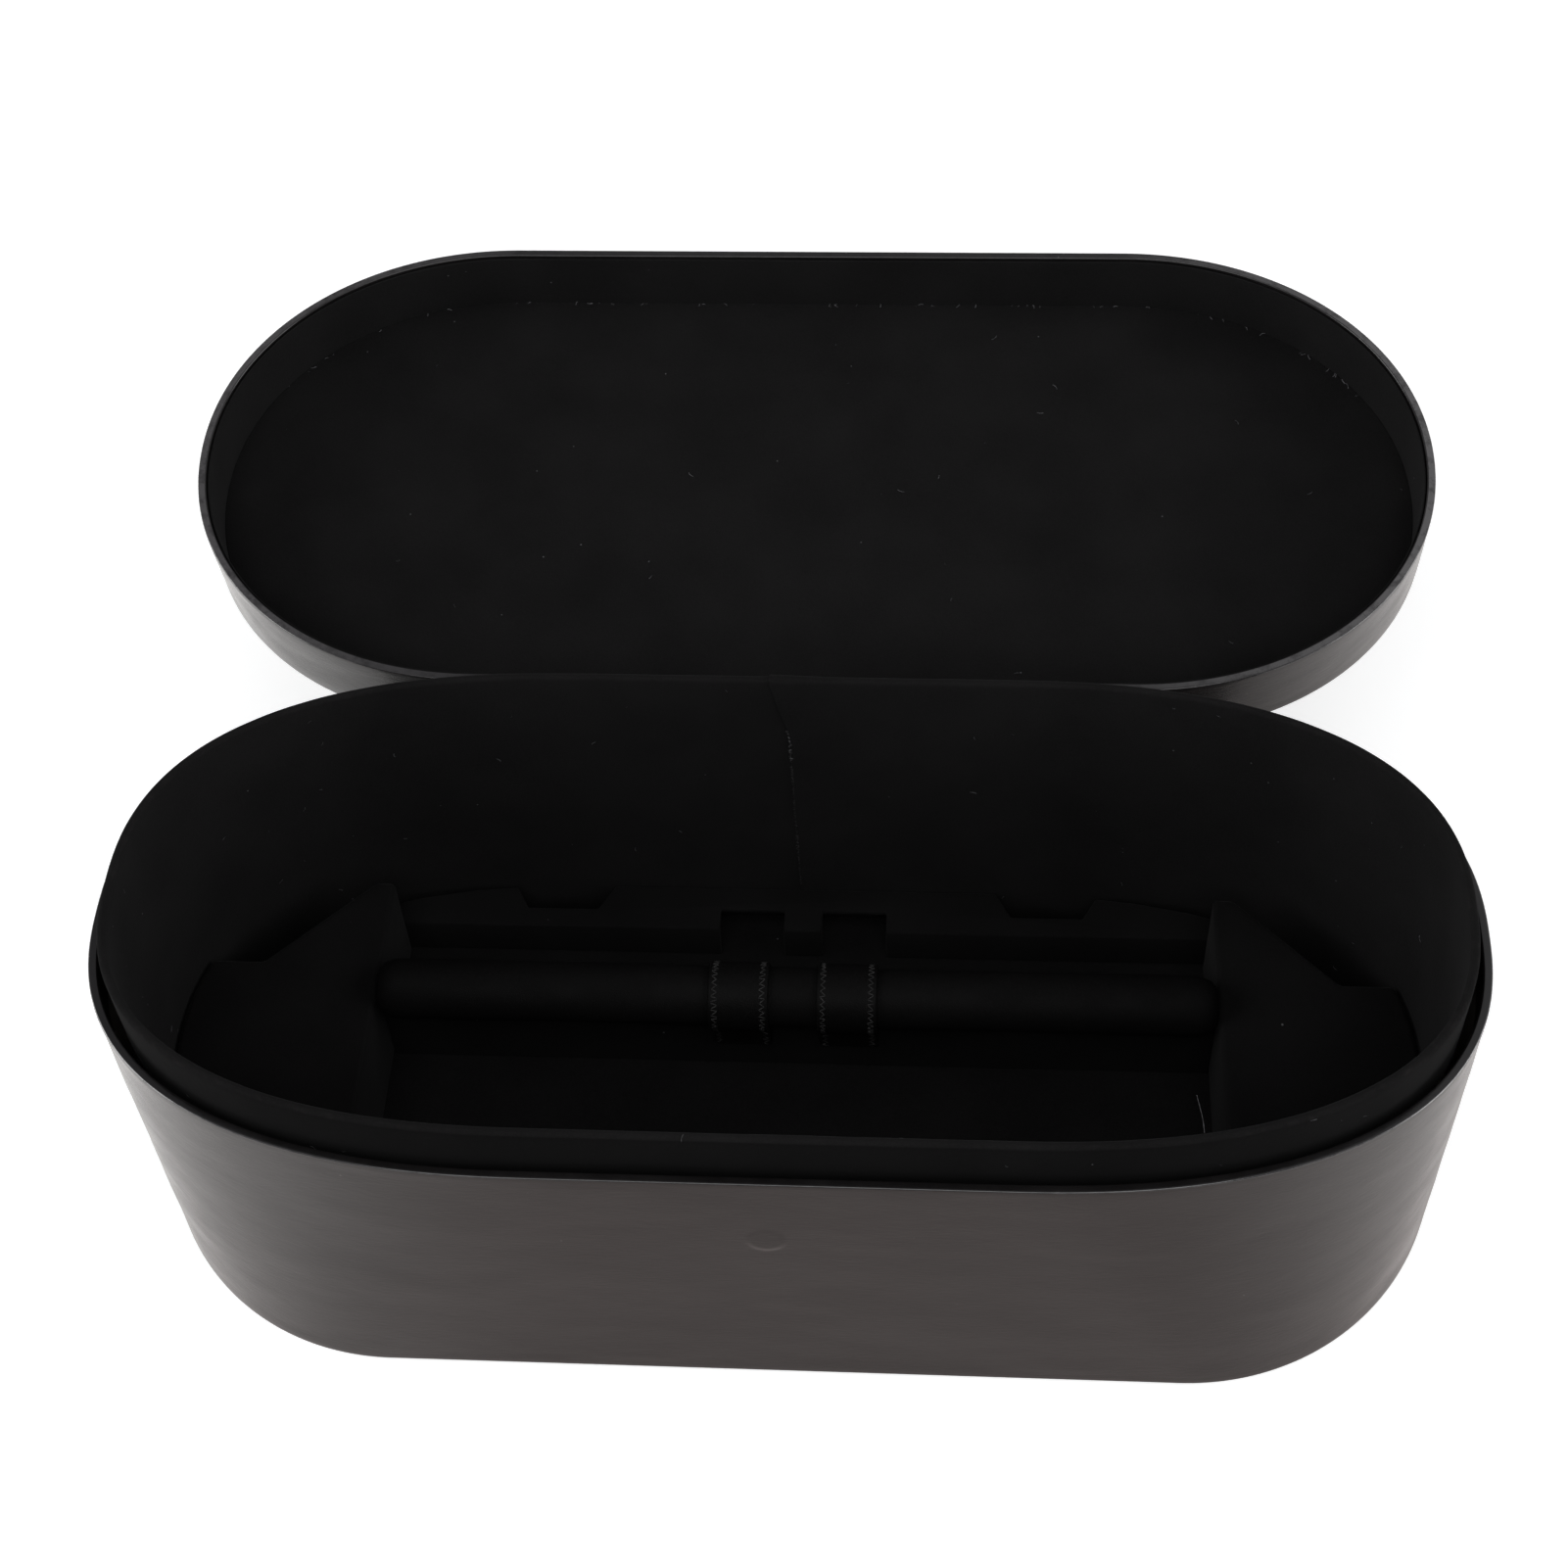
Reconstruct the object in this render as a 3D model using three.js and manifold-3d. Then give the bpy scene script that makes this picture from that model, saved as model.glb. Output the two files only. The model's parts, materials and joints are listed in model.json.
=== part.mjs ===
// A storage box for a hair styling tool: a board body and a hinged board lid, both wrapped in
// smooth leathercloth and lined with felt, with a felt-covered insert that lifts out.
// Lengths are millimetres. +Z is up, +X runs along the box and the front faces -Y. The origin
// lies on the face that the box stands on, under the middle of the body. The lid stands open.

import * as THREE from "three";
import { mergeVertices } from "three/addons/utils/BufferGeometryUtils.js";
import Module from "manifold-3d";

const wasm = await Module();
wasm.setup();

// Outer sizes
const shellLength = 380;
const shellDepth = 164;
const rimHeight = 107;
const lidHeight = 27;
const lidOpenDegrees = 171;

// Outlines in plan: how long each rounded end is, and its power, where 2 is an ellipse.
// The body's foot is a plain stadium. Its rim is drawn out by the springy board, and the
// lid keeps close to the stadium.
const footEnd = { length: 77, power: 2 };
const rimEnd = { length: 130, power: 2.4 };
const lidEnd = { length: 93, power: 2.05 };
const endSteps = 14;

// Sheet materials and the glue line left between touching sheets
const leatherThickness = 0.4;
const feltThickness = 0.5;
const wallBoardThickness = 1.2;
const panelBoardThickness = 1.8;
const neckBoardThickness = 1;
const cardThickness = 1.2;
const glueGap = 0.25;

// Edges that are turned over
const rimTurnIn = 12;
const panelTurnOver = 14;
const neckTurnDown = 12;
const sheetSetback = 3;
const lidLiningSetback = 1;

// Neck: the lined ring that stands proud of the body's rim and locates the lid
const neckRise = 13;
const neckGap = 2.8;

// Hinge strip across the back
const hingeWidth = 170;
const hingeLeafHeight = 20;
const hingeClearance = 0.3;
const lidSeatGap = 0.3;

// Insert that lifts out of the body
const insertClearance = 0.8;
const insertFloorThickness = 1.5;
const compartmentLength = 250;
const endBlockHeight = 36;
const endBlockChamfer = 30;
const endBlockWing = 6;

// Ledge along the back of the insert, with its cut-outs
const ledgeLength = 256;
const ledgeDepth = 16;
const ledgeHeight = 14;
const ledgeThickness = 2;
const fingerNotchSpacing = 152;
const fingerNotchWidth = 32;
const fingerNotchDepth = 9;
const fingerNotchTaper = 5;
const strapNotchWidth = 20;
const strapNotchDepth = 8;

// Divider with its padded roll and straps
const dividerOffset = 19;
const dividerThickness = 3;
const dividerHeight = 25;
const rollRadius = 9.3;
const rollEndRound = 5;
const rollSqueeze = 0.5;
const squeezeEase = 5;
const strapSpacing = 32;
const strapWidth = 17.5;
const strapThickness = 1.2;
const strapLegLength = 12;
const rollSides = 20;
const rollSteps = 40;
const rollEndSteps = 4;
const strapArcSteps = 28;

// Clear overrun for a cut that goes right through
const cutOverrun = 5;

// Places that follow from the sizes above
const wallThickness = wallBoardThickness + 2 * leatherThickness + 2 * glueGap;
const neckInset = wallThickness + neckGap;
const neckBoardInset = neckInset + feltThickness + glueGap;
const wellInset = neckBoardInset + neckBoardThickness + glueGap + feltThickness;
const neckTop = rimHeight + neckRise;
const turnFace = leatherThickness + glueGap;
const boardFace = turnFace + leatherThickness + glueGap;
const wallFoot = boardFace + panelBoardThickness + glueGap;
const floorTop = wallFoot + feltThickness;
const insertFoot = floorTop + glueGap;
const insertFloorTop = insertFoot + insertFloorThickness;
const insertBase = insertFloorTop + glueGap;
const insertInset = wellInset + insertClearance;
const ledgeFront = shellDepth / 2 - insertInset - ledgeDepth;
const rollHeight = insertBase + dividerHeight + glueGap + rollRadius;
const hingeAxisOffset = shellDepth / 2 + glueGap + leatherThickness + hingeClearance;
const lidTop = rimHeight + lidHeight;
const lidRim = rimHeight + lidSeatGap;

// One quarter turn of directions, closer together where the outline runs into its straight parts.
function facing(step) {
  const share = step / endSteps;
  const crowded = (1 - Math.cos(Math.PI * share)) / 2;
  return (Math.PI / 4) * (share + crowded);
}

// The point of a rounded end whose outside faces a direction, drawn in by an inset. Points that
// face alike on two outlines are joined by a straight line of the bent board between them.
function endPoint(end, angle, inset) {
  const halfDepth = shellDepth / 2;
  const normal = new THREE.Vector2(Math.cos(angle), Math.sin(angle));
  const along = end.length * normal.x;
  const across = halfDepth * normal.y;
  const conjugate = end.power / (end.power - 1);
  const scale = (along ** conjugate + across ** conjugate) ** (-1 / end.power);
  const x = end.length * scale * along ** (conjugate - 1);
  const y = halfDepth * scale * across ** (conjugate - 1);
  return new THREE.Vector2(shellLength / 2 - end.length + x, y).addScaledVector(normal, -inset);
}

// Points of an outline in plan, anticlockwise from its +X end.
function planOutline(end, inset) {
  const quarter = [];
  for (let step = 0; step <= endSteps; step += 1) {
    quarter.push(endPoint(end, facing(step), inset));
  }
  const mirrored = quarter.map((point) => new THREE.Vector2(-point.x, point.y)).reverse();
  const back = [...quarter, ...mirrored];
  const front = back.slice(1, -1).map((point) => new THREE.Vector2(point.x, -point.y));
  return [...back, ...front.reverse()];
}

// The body's outline at a height: the foot's outline eases into the rim's.
function bodyOutline(height, inset) {
  const share = Math.min(height / rimHeight, 1);
  const rim = planOutline(rimEnd, inset);
  return planOutline(footEnd, inset).map((point, index) => point.lerp(rim[index], share));
}

// The lid's outline, alike at every height.
function lidOutline(height, inset) {
  return planOutline(lidEnd, inset);
}

// A solid from a three.js geometry that is one closed surface.
function solidFromGeometry(geometry) {
  const bare = geometry.index ? geometry.toNonIndexed() : geometry.clone();
  bare.deleteAttribute("normal");
  bare.deleteAttribute("uv");
  const merged = mergeVertices(bare);
  const corners = merged.index.array;
  const triangles = [];
  for (let i = 0; i < corners.length; i += 3) {
    const [a, b, c] = corners.slice(i, i + 3);
    if (a !== b && b !== c && c !== a) triangles.push(a, b, c);
  }
  const mesh = new wasm.Mesh({
    numProp: 3,
    vertProperties: new Float32Array(merged.attributes.position.array),
    triVerts: new Uint32Array(triangles),
  });
  return new wasm.Manifold(mesh);
}

// A solid whose skin runs from row to row of points. Each row goes once round, anticlockwise.
function solidFromRows(rows) {
  const positions = [];
  for (let level = 0; level + 1 < rows.length; level += 1) {
    const low = rows[level];
    const high = rows[level + 1];
    low.forEach((corner, index) => {
      const next = (index + 1) % low.length;
      [corner, low[next], high[next], corner, high[next], high[index]].forEach((point) => {
        positions.push(point.x, point.y, point.z);
      });
    });
  }
  const geometry = new THREE.BufferGeometry();
  geometry.setAttribute("position", new THREE.Float32BufferAttribute(positions, 3));
  return solidFromGeometry(geometry);
}

// An outline lifted to a height.
function rowAt(outlineAt, inset, height) {
  return outlineAt(height, inset).map((point) => new THREE.Vector3(point.x, point.y, height));
}

// A side of a section from one [inset, height] corner to the next. It gets one more corner where
// it passes the rim, because the body's outline stops changing there.
function sideCorners(from, to) {
  const passesRim = (from[1] - rimHeight) * (to[1] - rimHeight) < 0;
  return passesRim ? [from, [from[0], rimHeight]] : [from];
}

// A ring whose section is a closed list of [inset, height] corners, up the outside first.
function ring(outlineAt, section) {
  const nextCorner = (index) => section[(index + 1) % section.length];
  const corners = section.flatMap((corner, index) => sideCorners(corner, nextCorner(index)));
  const closed = [...corners, corners[0]];
  return solidFromRows(closed.map(([inset, height]) => rowAt(outlineAt, inset, height)));
}

// A ring of plain rectangular section.
function wallRing(outlineAt, inset, thickness, low, high) {
  const inner = inset + thickness;
  return ring(outlineAt, [[inset, low], [inset, high], [inner, high], [inner, low]]);
}

// A flat sheet or board cut to an outline.
function sheet(outlineAt, inset, low, high) {
  const bottom = rowAt(outlineAt, inset, low);
  const top = rowAt(outlineAt, inset, high);
  const underside = bottom.map(() => new THREE.Vector3(0, 0, low));
  const upside = top.map(() => new THREE.Vector3(0, 0, high));
  return solidFromRows([underside, bottom, top, upside]);
}

// An upright block whose plan is a list of [x, y] corners.
function upright(corners, low, high) {
  const shape = new THREE.Shape(corners.map(([x, y]) => new THREE.Vector2(x, y)));
  const geometry = new THREE.ExtrudeGeometry(shape, { depth: high - low, bevelEnabled: false });
  return solidFromGeometry(geometry.translate(0, 0, low));
}

// A block with its sides along the axes.
function block(lowCorner, highCorner) {
  const [x0, y0, z0] = lowCorner;
  const [x1, y1, z1] = highCorner;
  return upright([[x0, y0], [x1, y0], [x1, y1], [x0, y1]], z0, z1);
}

// Adds a named mesh of a solid to a group, in a finish of its own.
function addPiece(group, name, solid, finish) {
  const data = solid.getMesh();
  const geometry = new THREE.BufferGeometry();
  geometry.setAttribute("position", new THREE.BufferAttribute(data.vertProperties, 3));
  geometry.setIndex(new THREE.BufferAttribute(data.triVerts, 1));
  geometry.computeVertexNormals();
  const mesh = new THREE.Mesh(geometry, new THREE.MeshStandardMaterial(finish));
  mesh.name = name;
  group.add(mesh);
}

// Finishes
const leathercloth = { color: 0x403d3c, roughness: 0.5, metalness: 0 };
const felt = { color: 0x141313, roughness: 0.95, metalness: 0 };
const greyboard = { color: 0x6f6a62, roughness: 0.9, metalness: 0 };
const rollLeather = { color: 0x151414, roughness: 0.55, metalness: 0 };

// Leathercloth round a wall: turned in over the free rim, and turned over the panel's edge.
// The panel lies at the foot of the body, and at the top of the lid.
function bodyWallCover() {
  const t = leatherThickness;
  const turned = rimHeight - rimTurnIn;
  return ring(bodyOutline, [
    [0, turnFace],
    [0, rimHeight],
    [wallThickness, rimHeight],
    [wallThickness, turned],
    [wallThickness - t, turned],
    [wallThickness - t, rimHeight - t],
    [t, rimHeight - t],
    [t, turnFace + t],
    [panelTurnOver, turnFace + t],
    [panelTurnOver, turnFace],
  ]);
}

function lidWallCover() {
  const t = leatherThickness;
  const high = lidTop - turnFace;
  const turned = lidRim + rimTurnIn;
  return ring(lidOutline, [
    [0, lidRim],
    [0, high],
    [panelTurnOver, high],
    [panelTurnOver, high - t],
    [t, high - t],
    [t, lidRim + t],
    [wallThickness - t, lidRim + t],
    [wallThickness - t, turned],
    [wallThickness, turned],
    [wallThickness, lidRim],
  ]);
}

// Felt over the neck: down the inside to the floor, and a short way down the outside.
function neckLining() {
  const outerLeg = rimHeight - neckTurnDown;
  const cap = neckTop - feltThickness;
  const outerBack = neckInset + feltThickness;
  const innerBack = wellInset - feltThickness;
  return ring(bodyOutline, [
    [neckInset, outerLeg],
    [neckInset, neckTop],
    [wellInset, neckTop],
    [wellInset, wallFoot],
    [innerBack, wallFoot],
    [innerBack, cap],
    [outerBack, cap],
    [outerBack, outerLeg],
  ]);
}

// One leaf of the hinge strip: it lies on the back face over a height.
function hingeLeaf(outlineAt, low, high) {
  const half = hingeWidth / 2;
  const band = wallRing(outlineAt, -glueGap - leatherThickness, leatherThickness, low, high);
  const back = [half, shellDepth, high + cutOverrun];
  return band.intersect(block([-half, 0, low - cutOverrun], back));
}

function buildBody() {
  const body = new THREE.Group();
  const boardInset = leatherThickness + glueGap;
  const boardTop = rimHeight - leatherThickness - glueGap;
  const panelTop = boardFace + panelBoardThickness;
  const neckBoardTop = neckTop - feltThickness - glueGap;
  const leafLow = rimHeight - hingeLeafHeight;

  const bottomCover = sheet(bodyOutline, sheetSetback, 0, leatherThickness);
  const bottomBoard = sheet(bodyOutline, boardInset, boardFace, panelTop);
  const wallBoard = wallRing(bodyOutline, boardInset, wallBoardThickness, wallFoot, boardTop);
  const neckBoard = wallRing(bodyOutline, neckBoardInset, neckBoardThickness, wallFoot, neckBoardTop);
  const floorLining = sheet(bodyOutline, wellInset + glueGap, wallFoot, floorTop);

  addPiece(body, "bottom_cover", bottomCover, leathercloth);
  addPiece(body, "bottom_board", bottomBoard, greyboard);
  addPiece(body, "base_wall_board", wallBoard, greyboard);
  addPiece(body, "base_wall_cover", bodyWallCover(), leathercloth);
  addPiece(body, "neck_board", neckBoard, greyboard);
  addPiece(body, "neck_lining", neckLining(), felt);
  addPiece(body, "floor_lining", floorLining, felt);
  addPiece(body, "hinge_leaf_base", hingeLeaf(bodyOutline, leafLow, rimHeight), leathercloth);
  return body;
}

// The lid is drawn closed, inside a frame that turns about the hinge line.
function buildLid() {
  const lid = new THREE.Group();
  const boardInset = leatherThickness + glueGap;
  const boardLow = lidRim + leatherThickness + glueGap;
  const panelHigh = lidTop - boardFace;
  const panelLow = panelHigh - panelBoardThickness;
  const wallHigh = panelLow - glueGap;
  const liningInset = wallThickness + glueGap;
  const cardInset = liningInset + feltThickness + glueGap;
  const liningLow = lidRim + lidLiningSetback;
  const leafHigh = lidRim + hingeLeafHeight;

  const topCover = sheet(lidOutline, sheetSetback, lidTop - leatherThickness, lidTop);
  const topBoard = sheet(lidOutline, boardInset, panelLow, panelHigh);
  const wallBoard = wallRing(lidOutline, boardInset, wallBoardThickness, boardLow, wallHigh);
  const wallLining = wallRing(lidOutline, liningInset, feltThickness, liningLow, wallHigh);
  const ceilingPanel = sheet(lidOutline, cardInset, wallHigh - cardThickness, wallHigh);

  addPiece(lid, "lid_top_cover", topCover, leathercloth);
  addPiece(lid, "lid_top_board", topBoard, greyboard);
  addPiece(lid, "lid_wall_board", wallBoard, greyboard);
  addPiece(lid, "lid_wall_cover", lidWallCover(), leathercloth);
  addPiece(lid, "lid_wall_lining", wallLining, felt);
  addPiece(lid, "lid_ceiling_panel", ceilingPanel, felt);
  addPiece(lid, "hinge_leaf_lid", hingeLeaf(lidOutline, lidRim, leafHigh), leathercloth);

  lid.position.set(0, -hingeAxisOffset, -rimHeight);
  const pivot = new THREE.Group();
  pivot.add(lid);
  pivot.position.set(0, hingeAxisOffset, rimHeight);
  pivot.rotation.x = -THREE.MathUtils.degToRad(lidOpenDegrees);
  return pivot;
}

// The room that the insert may fill: clear of the lining where it stands, and on its way out.
function insertRoom() {
  const standing = sheet(bodyOutline, insertInset, 0, rimHeight);
  const leaving = sheet((height, inset) => planOutline(rimEnd, inset), insertInset, 0, rimHeight);
  return standing.intersect(leaving);
}

// An end block: chamfered shoulders that narrow to a tab, rounded to the well's end.
function endBlock(side) {
  const near = compartmentLength / 2;
  const wing = near + endBlockWing;
  const shoulder = wing + endBlockChamfer;
  const far = shellLength / 2;
  const wide = ledgeFront - glueGap;
  const narrow = wide - endBlockChamfer;
  const half = [[near, wide], [wing, wide], [shoulder, narrow], [far, narrow]];
  const mirrored = half.map(([x, y]) => [x, -y]).reverse();
  const corners = [...half, ...mirrored].map(([x, y]) => [side * x, y]);
  return upright(corners, insertBase, insertBase + endBlockHeight).intersect(insertRoom());
}

// Cutter for a finger notch in the back edge of the ledge.
function fingerNotch(centre, low, high) {
  const back = shellDepth / 2 - insertInset;
  const mouth = fingerNotchWidth / 2;
  const root = mouth - fingerNotchTaper;
  const corners = [
    [centre - root, back - fingerNotchDepth],
    [centre + root, back - fingerNotchDepth],
    [centre + mouth, back],
    [centre + mouth, back + cutOverrun],
    [centre - mouth, back + cutOverrun],
    [centre - mouth, back],
  ];
  return upright(corners, low, high);
}

// The ledge: a shelf with a riser under its front edge.
function backLedge() {
  const half = ledgeLength / 2;
  const back = shellDepth / 2;
  const top = insertBase + ledgeHeight;
  const low = insertBase - cutOverrun;
  const high = top + cutOverrun;
  const shelf = block([-half, ledgeFront, top - ledgeThickness], [half, back, top]);
  const riser = block([-half, ledgeFront, insertBase], [half, ledgeFront + ledgeThickness, top]);
  let ledge = shelf.add(riser).intersect(insertRoom());
  for (const side of [-1, 1]) {
    const strapCentre = (side * strapSpacing) / 2;
    const strapNotch = block(
      [strapCentre - strapNotchWidth / 2, ledgeFront - cutOverrun, low],
      [strapCentre + strapNotchWidth / 2, ledgeFront + strapNotchDepth, high],
    );
    ledge = ledge.subtract(fingerNotch((side * fingerNotchSpacing) / 2, low, high));
    ledge = ledge.subtract(strapNotch);
  }
  return ledge;
}

// The roll's radius at a place along it: drawn in under each strap, rounded at both ends.
function rollRadiusAt(place, halfLength) {
  const pastStrap = Math.abs(Math.abs(place) - strapSpacing / 2) - strapWidth / 2 - glueGap;
  const eased = THREE.MathUtils.smoothstep(pastStrap, 0, squeezeEase);
  const full = rollRadius - rollSqueeze * (1 - eased);
  const intoEnd = Math.max(Math.abs(place) - (halfLength - rollEndRound), 0) / rollEndRound;
  return full - rollEndRound * (1 - Math.sqrt(Math.max(1 - intoEnd * intoEnd, 0)));
}

function dividerRoll() {
  const halfLength = compartmentLength / 2 - glueGap;
  const straight = halfLength - rollEndRound;
  const places = [];
  for (let step = 0; step < rollEndSteps; step += 1) {
    const angle = ((step / rollEndSteps) * Math.PI) / 2;
    places.push(straight + rollEndRound * Math.cos(angle));
  }
  for (let step = 0; step <= rollSteps / 2; step += 1) {
    places.push(straight * (1 - step / (rollSteps / 2)));
  }
  const back = places.slice(0, -1).map((place) => -place);
  const profile = [...back, ...places.reverse()].map(
    (place) => new THREE.Vector2(rollRadiusAt(place, halfLength), place),
  );
  const closed = [new THREE.Vector2(0, -halfLength), ...profile, new THREE.Vector2(0, halfLength)];
  const geometry = new THREE.LatheGeometry(closed, rollSides);
  geometry.rotateZ(-Math.PI / 2);
  geometry.translate(0, dividerOffset, rollHeight);
  return solidFromGeometry(geometry);
}

// A strap: it goes round the roll, and its two tails lie on the divider's faces.
function strap(centre) {
  const innerRadius = rollRadius - rollSqueeze + glueGap;
  const outerRadius = innerRadius + strapThickness;
  const innerLeg = dividerThickness / 2 + glueGap;
  const outerLeg = innerLeg + strapThickness;
  const legFoot = -rollRadius - strapLegLength;
  const innerStart = Math.asin(innerLeg / innerRadius);
  const outerStart = Math.asin(outerLeg / outerRadius);
  const shape = new THREE.Shape();
  shape.moveTo(outerLeg, legFoot);
  for (let step = 0; step <= strapArcSteps; step += 1) {
    const turn = outerStart + (step / strapArcSteps) * 2 * (Math.PI - outerStart);
    shape.lineTo(outerRadius * Math.sin(turn), -outerRadius * Math.cos(turn));
  }
  shape.lineTo(-outerLeg, legFoot);
  shape.lineTo(-innerLeg, legFoot);
  for (let step = strapArcSteps; step >= 0; step -= 1) {
    const turn = innerStart + (step / strapArcSteps) * 2 * (Math.PI - innerStart);
    shape.lineTo(innerRadius * Math.sin(turn), -innerRadius * Math.cos(turn));
  }
  shape.lineTo(innerLeg, legFoot);
  const geometry = new THREE.ExtrudeGeometry(shape, { depth: strapWidth, bevelEnabled: false });
  const acrossToY = new THREE.Vector3(0, 1, 0);
  const upToZ = new THREE.Vector3(0, 0, 1);
  const depthToX = new THREE.Vector3(1, 0, 0);
  geometry.applyMatrix4(new THREE.Matrix4().makeBasis(acrossToY, upToZ, depthToX));
  geometry.translate(centre - strapWidth / 2, dividerOffset, rollHeight);
  return solidFromGeometry(geometry);
}

function dividerBoard() {
  const halfLength = compartmentLength / 2 - glueGap;
  const front = dividerOffset - dividerThickness / 2;
  const back = dividerOffset + dividerThickness / 2;
  return block([-halfLength, front, insertBase], [halfLength, back, insertBase + dividerHeight]);
}

function buildInsert() {
  const insert = new THREE.Group();
  const slabCorner = [shellLength, shellDepth, insertFloorTop];
  const slab = block([-shellLength, -shellDepth, insertFoot], slabCorner);
  const insertFloor = insertRoom().intersect(slab);
  const strapPlace = strapSpacing / 2;
  addPiece(insert, "insert_floor", insertFloor, felt);
  addPiece(insert, "end_block_left", endBlock(-1), felt);
  addPiece(insert, "end_block_right", endBlock(1), felt);
  addPiece(insert, "back_ledge", backLedge(), felt);
  addPiece(insert, "divider_board", dividerBoard(), felt);
  addPiece(insert, "divider_roll", dividerRoll(), rollLeather);
  addPiece(insert, "strap_left", strap(-strapPlace), rollLeather);
  addPiece(insert, "strap_right", strap(strapPlace), rollLeather);
  return insert;
}

const box = new THREE.Group();
box.add(buildBody(), buildLid(), buildInsert());

export default box;
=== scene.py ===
import json
import math
from contextlib import contextmanager

import bmesh
import bpy
from mathutils import Matrix, Vector, noise


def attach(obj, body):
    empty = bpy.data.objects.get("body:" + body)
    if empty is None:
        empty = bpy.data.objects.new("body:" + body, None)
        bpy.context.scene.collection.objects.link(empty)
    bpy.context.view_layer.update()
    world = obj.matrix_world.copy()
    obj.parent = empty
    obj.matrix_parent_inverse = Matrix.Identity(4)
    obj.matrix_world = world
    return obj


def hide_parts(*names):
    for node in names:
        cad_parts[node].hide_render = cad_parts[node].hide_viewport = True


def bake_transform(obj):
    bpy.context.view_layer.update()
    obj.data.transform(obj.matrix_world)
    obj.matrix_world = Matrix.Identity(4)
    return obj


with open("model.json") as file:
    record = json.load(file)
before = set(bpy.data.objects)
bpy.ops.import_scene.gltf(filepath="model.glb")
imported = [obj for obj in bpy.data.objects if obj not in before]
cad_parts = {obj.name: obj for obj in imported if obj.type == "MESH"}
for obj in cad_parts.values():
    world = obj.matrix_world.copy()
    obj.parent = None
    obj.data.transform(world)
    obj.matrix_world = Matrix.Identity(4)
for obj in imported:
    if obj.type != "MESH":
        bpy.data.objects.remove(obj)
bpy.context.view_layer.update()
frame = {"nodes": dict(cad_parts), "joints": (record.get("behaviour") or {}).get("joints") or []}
scene = bpy.context.scene
print("frame loaded")

# The box's own sizes, in metres, as the frame has them
boxShape = {
    "halfLength": 0.190,
    "halfDepth": 0.082,
    "rimHeight": 0.107,
    "footEnd": 0.077,
    "footPower": 2.0,
    "rimEnd": 0.130,
    "rimPower": 2.4,
    "lidEnd": 0.093,
    "lidPower": 2.05,
    "lidRim": 0.1073,
    "lidTop": 0.134,
    "neckOuter": 0.0053,
    "neckInner": 0.0078,
    "neckTop": 0.120,
    "wall": 0.0025,
    "leather": 0.0004,
    "felt": 0.0005,
    "hem": 0.012,
    "panelHem": 0.014,
    "sheetFace": 0.00065,
}

lidHinge = next(joint for joint in frame["joints"] if joint["name"] == "lid_hinge")
hingePoint = Vector(lidHinge["pos_m"])
lidAngle = math.radians(lidHinge["range_deg"][1])
lidTurn = Matrix.Rotation(-lidAngle, 4, "X")
openLid = Matrix.Translation(hingePoint) @ lidTurn @ Matrix.Translation(-hingePoint)


# Helpers for node trees: most find the tree by the sockets that they are given

def isSocket(value):
    return isinstance(value, bpy.types.NodeSocket)


def treeOf(values):
    return next(value.id_data for value in values if isSocket(value))


def plug(socket, value):
    if isSocket(value):
        socket.id_data.links.new(value, socket)
    else:
        socket.default_value = value


def addNode(tree, kind, inputs=None, **settings):
    node = tree.nodes.new(kind)
    for key, value in settings.items():
        setattr(node, key, value)
    for key, value in (inputs or {}).items():
        plug(node.inputs[key], value)
    return node


def addShape(tree, kind, inputs=None, **settings):
    return addNode(tree, "GeometryNode" + kind, inputs, **settings).outputs[0]


def calc(operation, *values):
    node = addNode(treeOf(values), "ShaderNodeMath", operation=operation)
    for socket, value in zip(node.inputs, values):
        plug(socket, value)
    return node.outputs[0]


def plus(first, second):
    return calc("ADD", first, second)


def minus(first, second):
    return calc("SUBTRACT", first, second)


def times(first, second):
    return calc("MULTIPLY", first, second)


def over(first, second):
    return calc("DIVIDE", first, second)


def vectorCalc(operation, first, second=(0.0, 0.0, 0.0)):
    node = addNode(first.id_data, "ShaderNodeVectorMath", {0: first, 1: second}, operation=operation)
    return node.outputs["Value" if operation == "LENGTH" else "Vector"]


def scaled(vector, factor):
    inputs = {0: vector, "Scale": factor}
    return addNode(vector.id_data, "ShaderNodeVectorMath", inputs, operation="SCALE").outputs["Vector"]


def partsOf(vector):
    return addNode(vector.id_data, "ShaderNodeSeparateXYZ", {0: vector}).outputs


def ramp(value, low, high, start=0.0, end=1.0, curve="SMOOTHSTEP"):
    inputs = {"Value": value, "From Min": low, "From Max": high, "To Min": start, "To Max": end}
    return addNode(value.id_data, "ShaderNodeMapRange", inputs, interpolation_type=curve).outputs["Result"]


def blended(share, first, second, kind="RGBA"):
    slot = {"FLOAT": 0, "VECTOR": 1, "RGBA": 2}[kind]
    inputs = {0: share, 2 * slot + 2: first, 2 * slot + 3: second}
    return addNode(share.id_data, "ShaderNodeMix", inputs, data_type=kind).outputs[slot]


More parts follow.
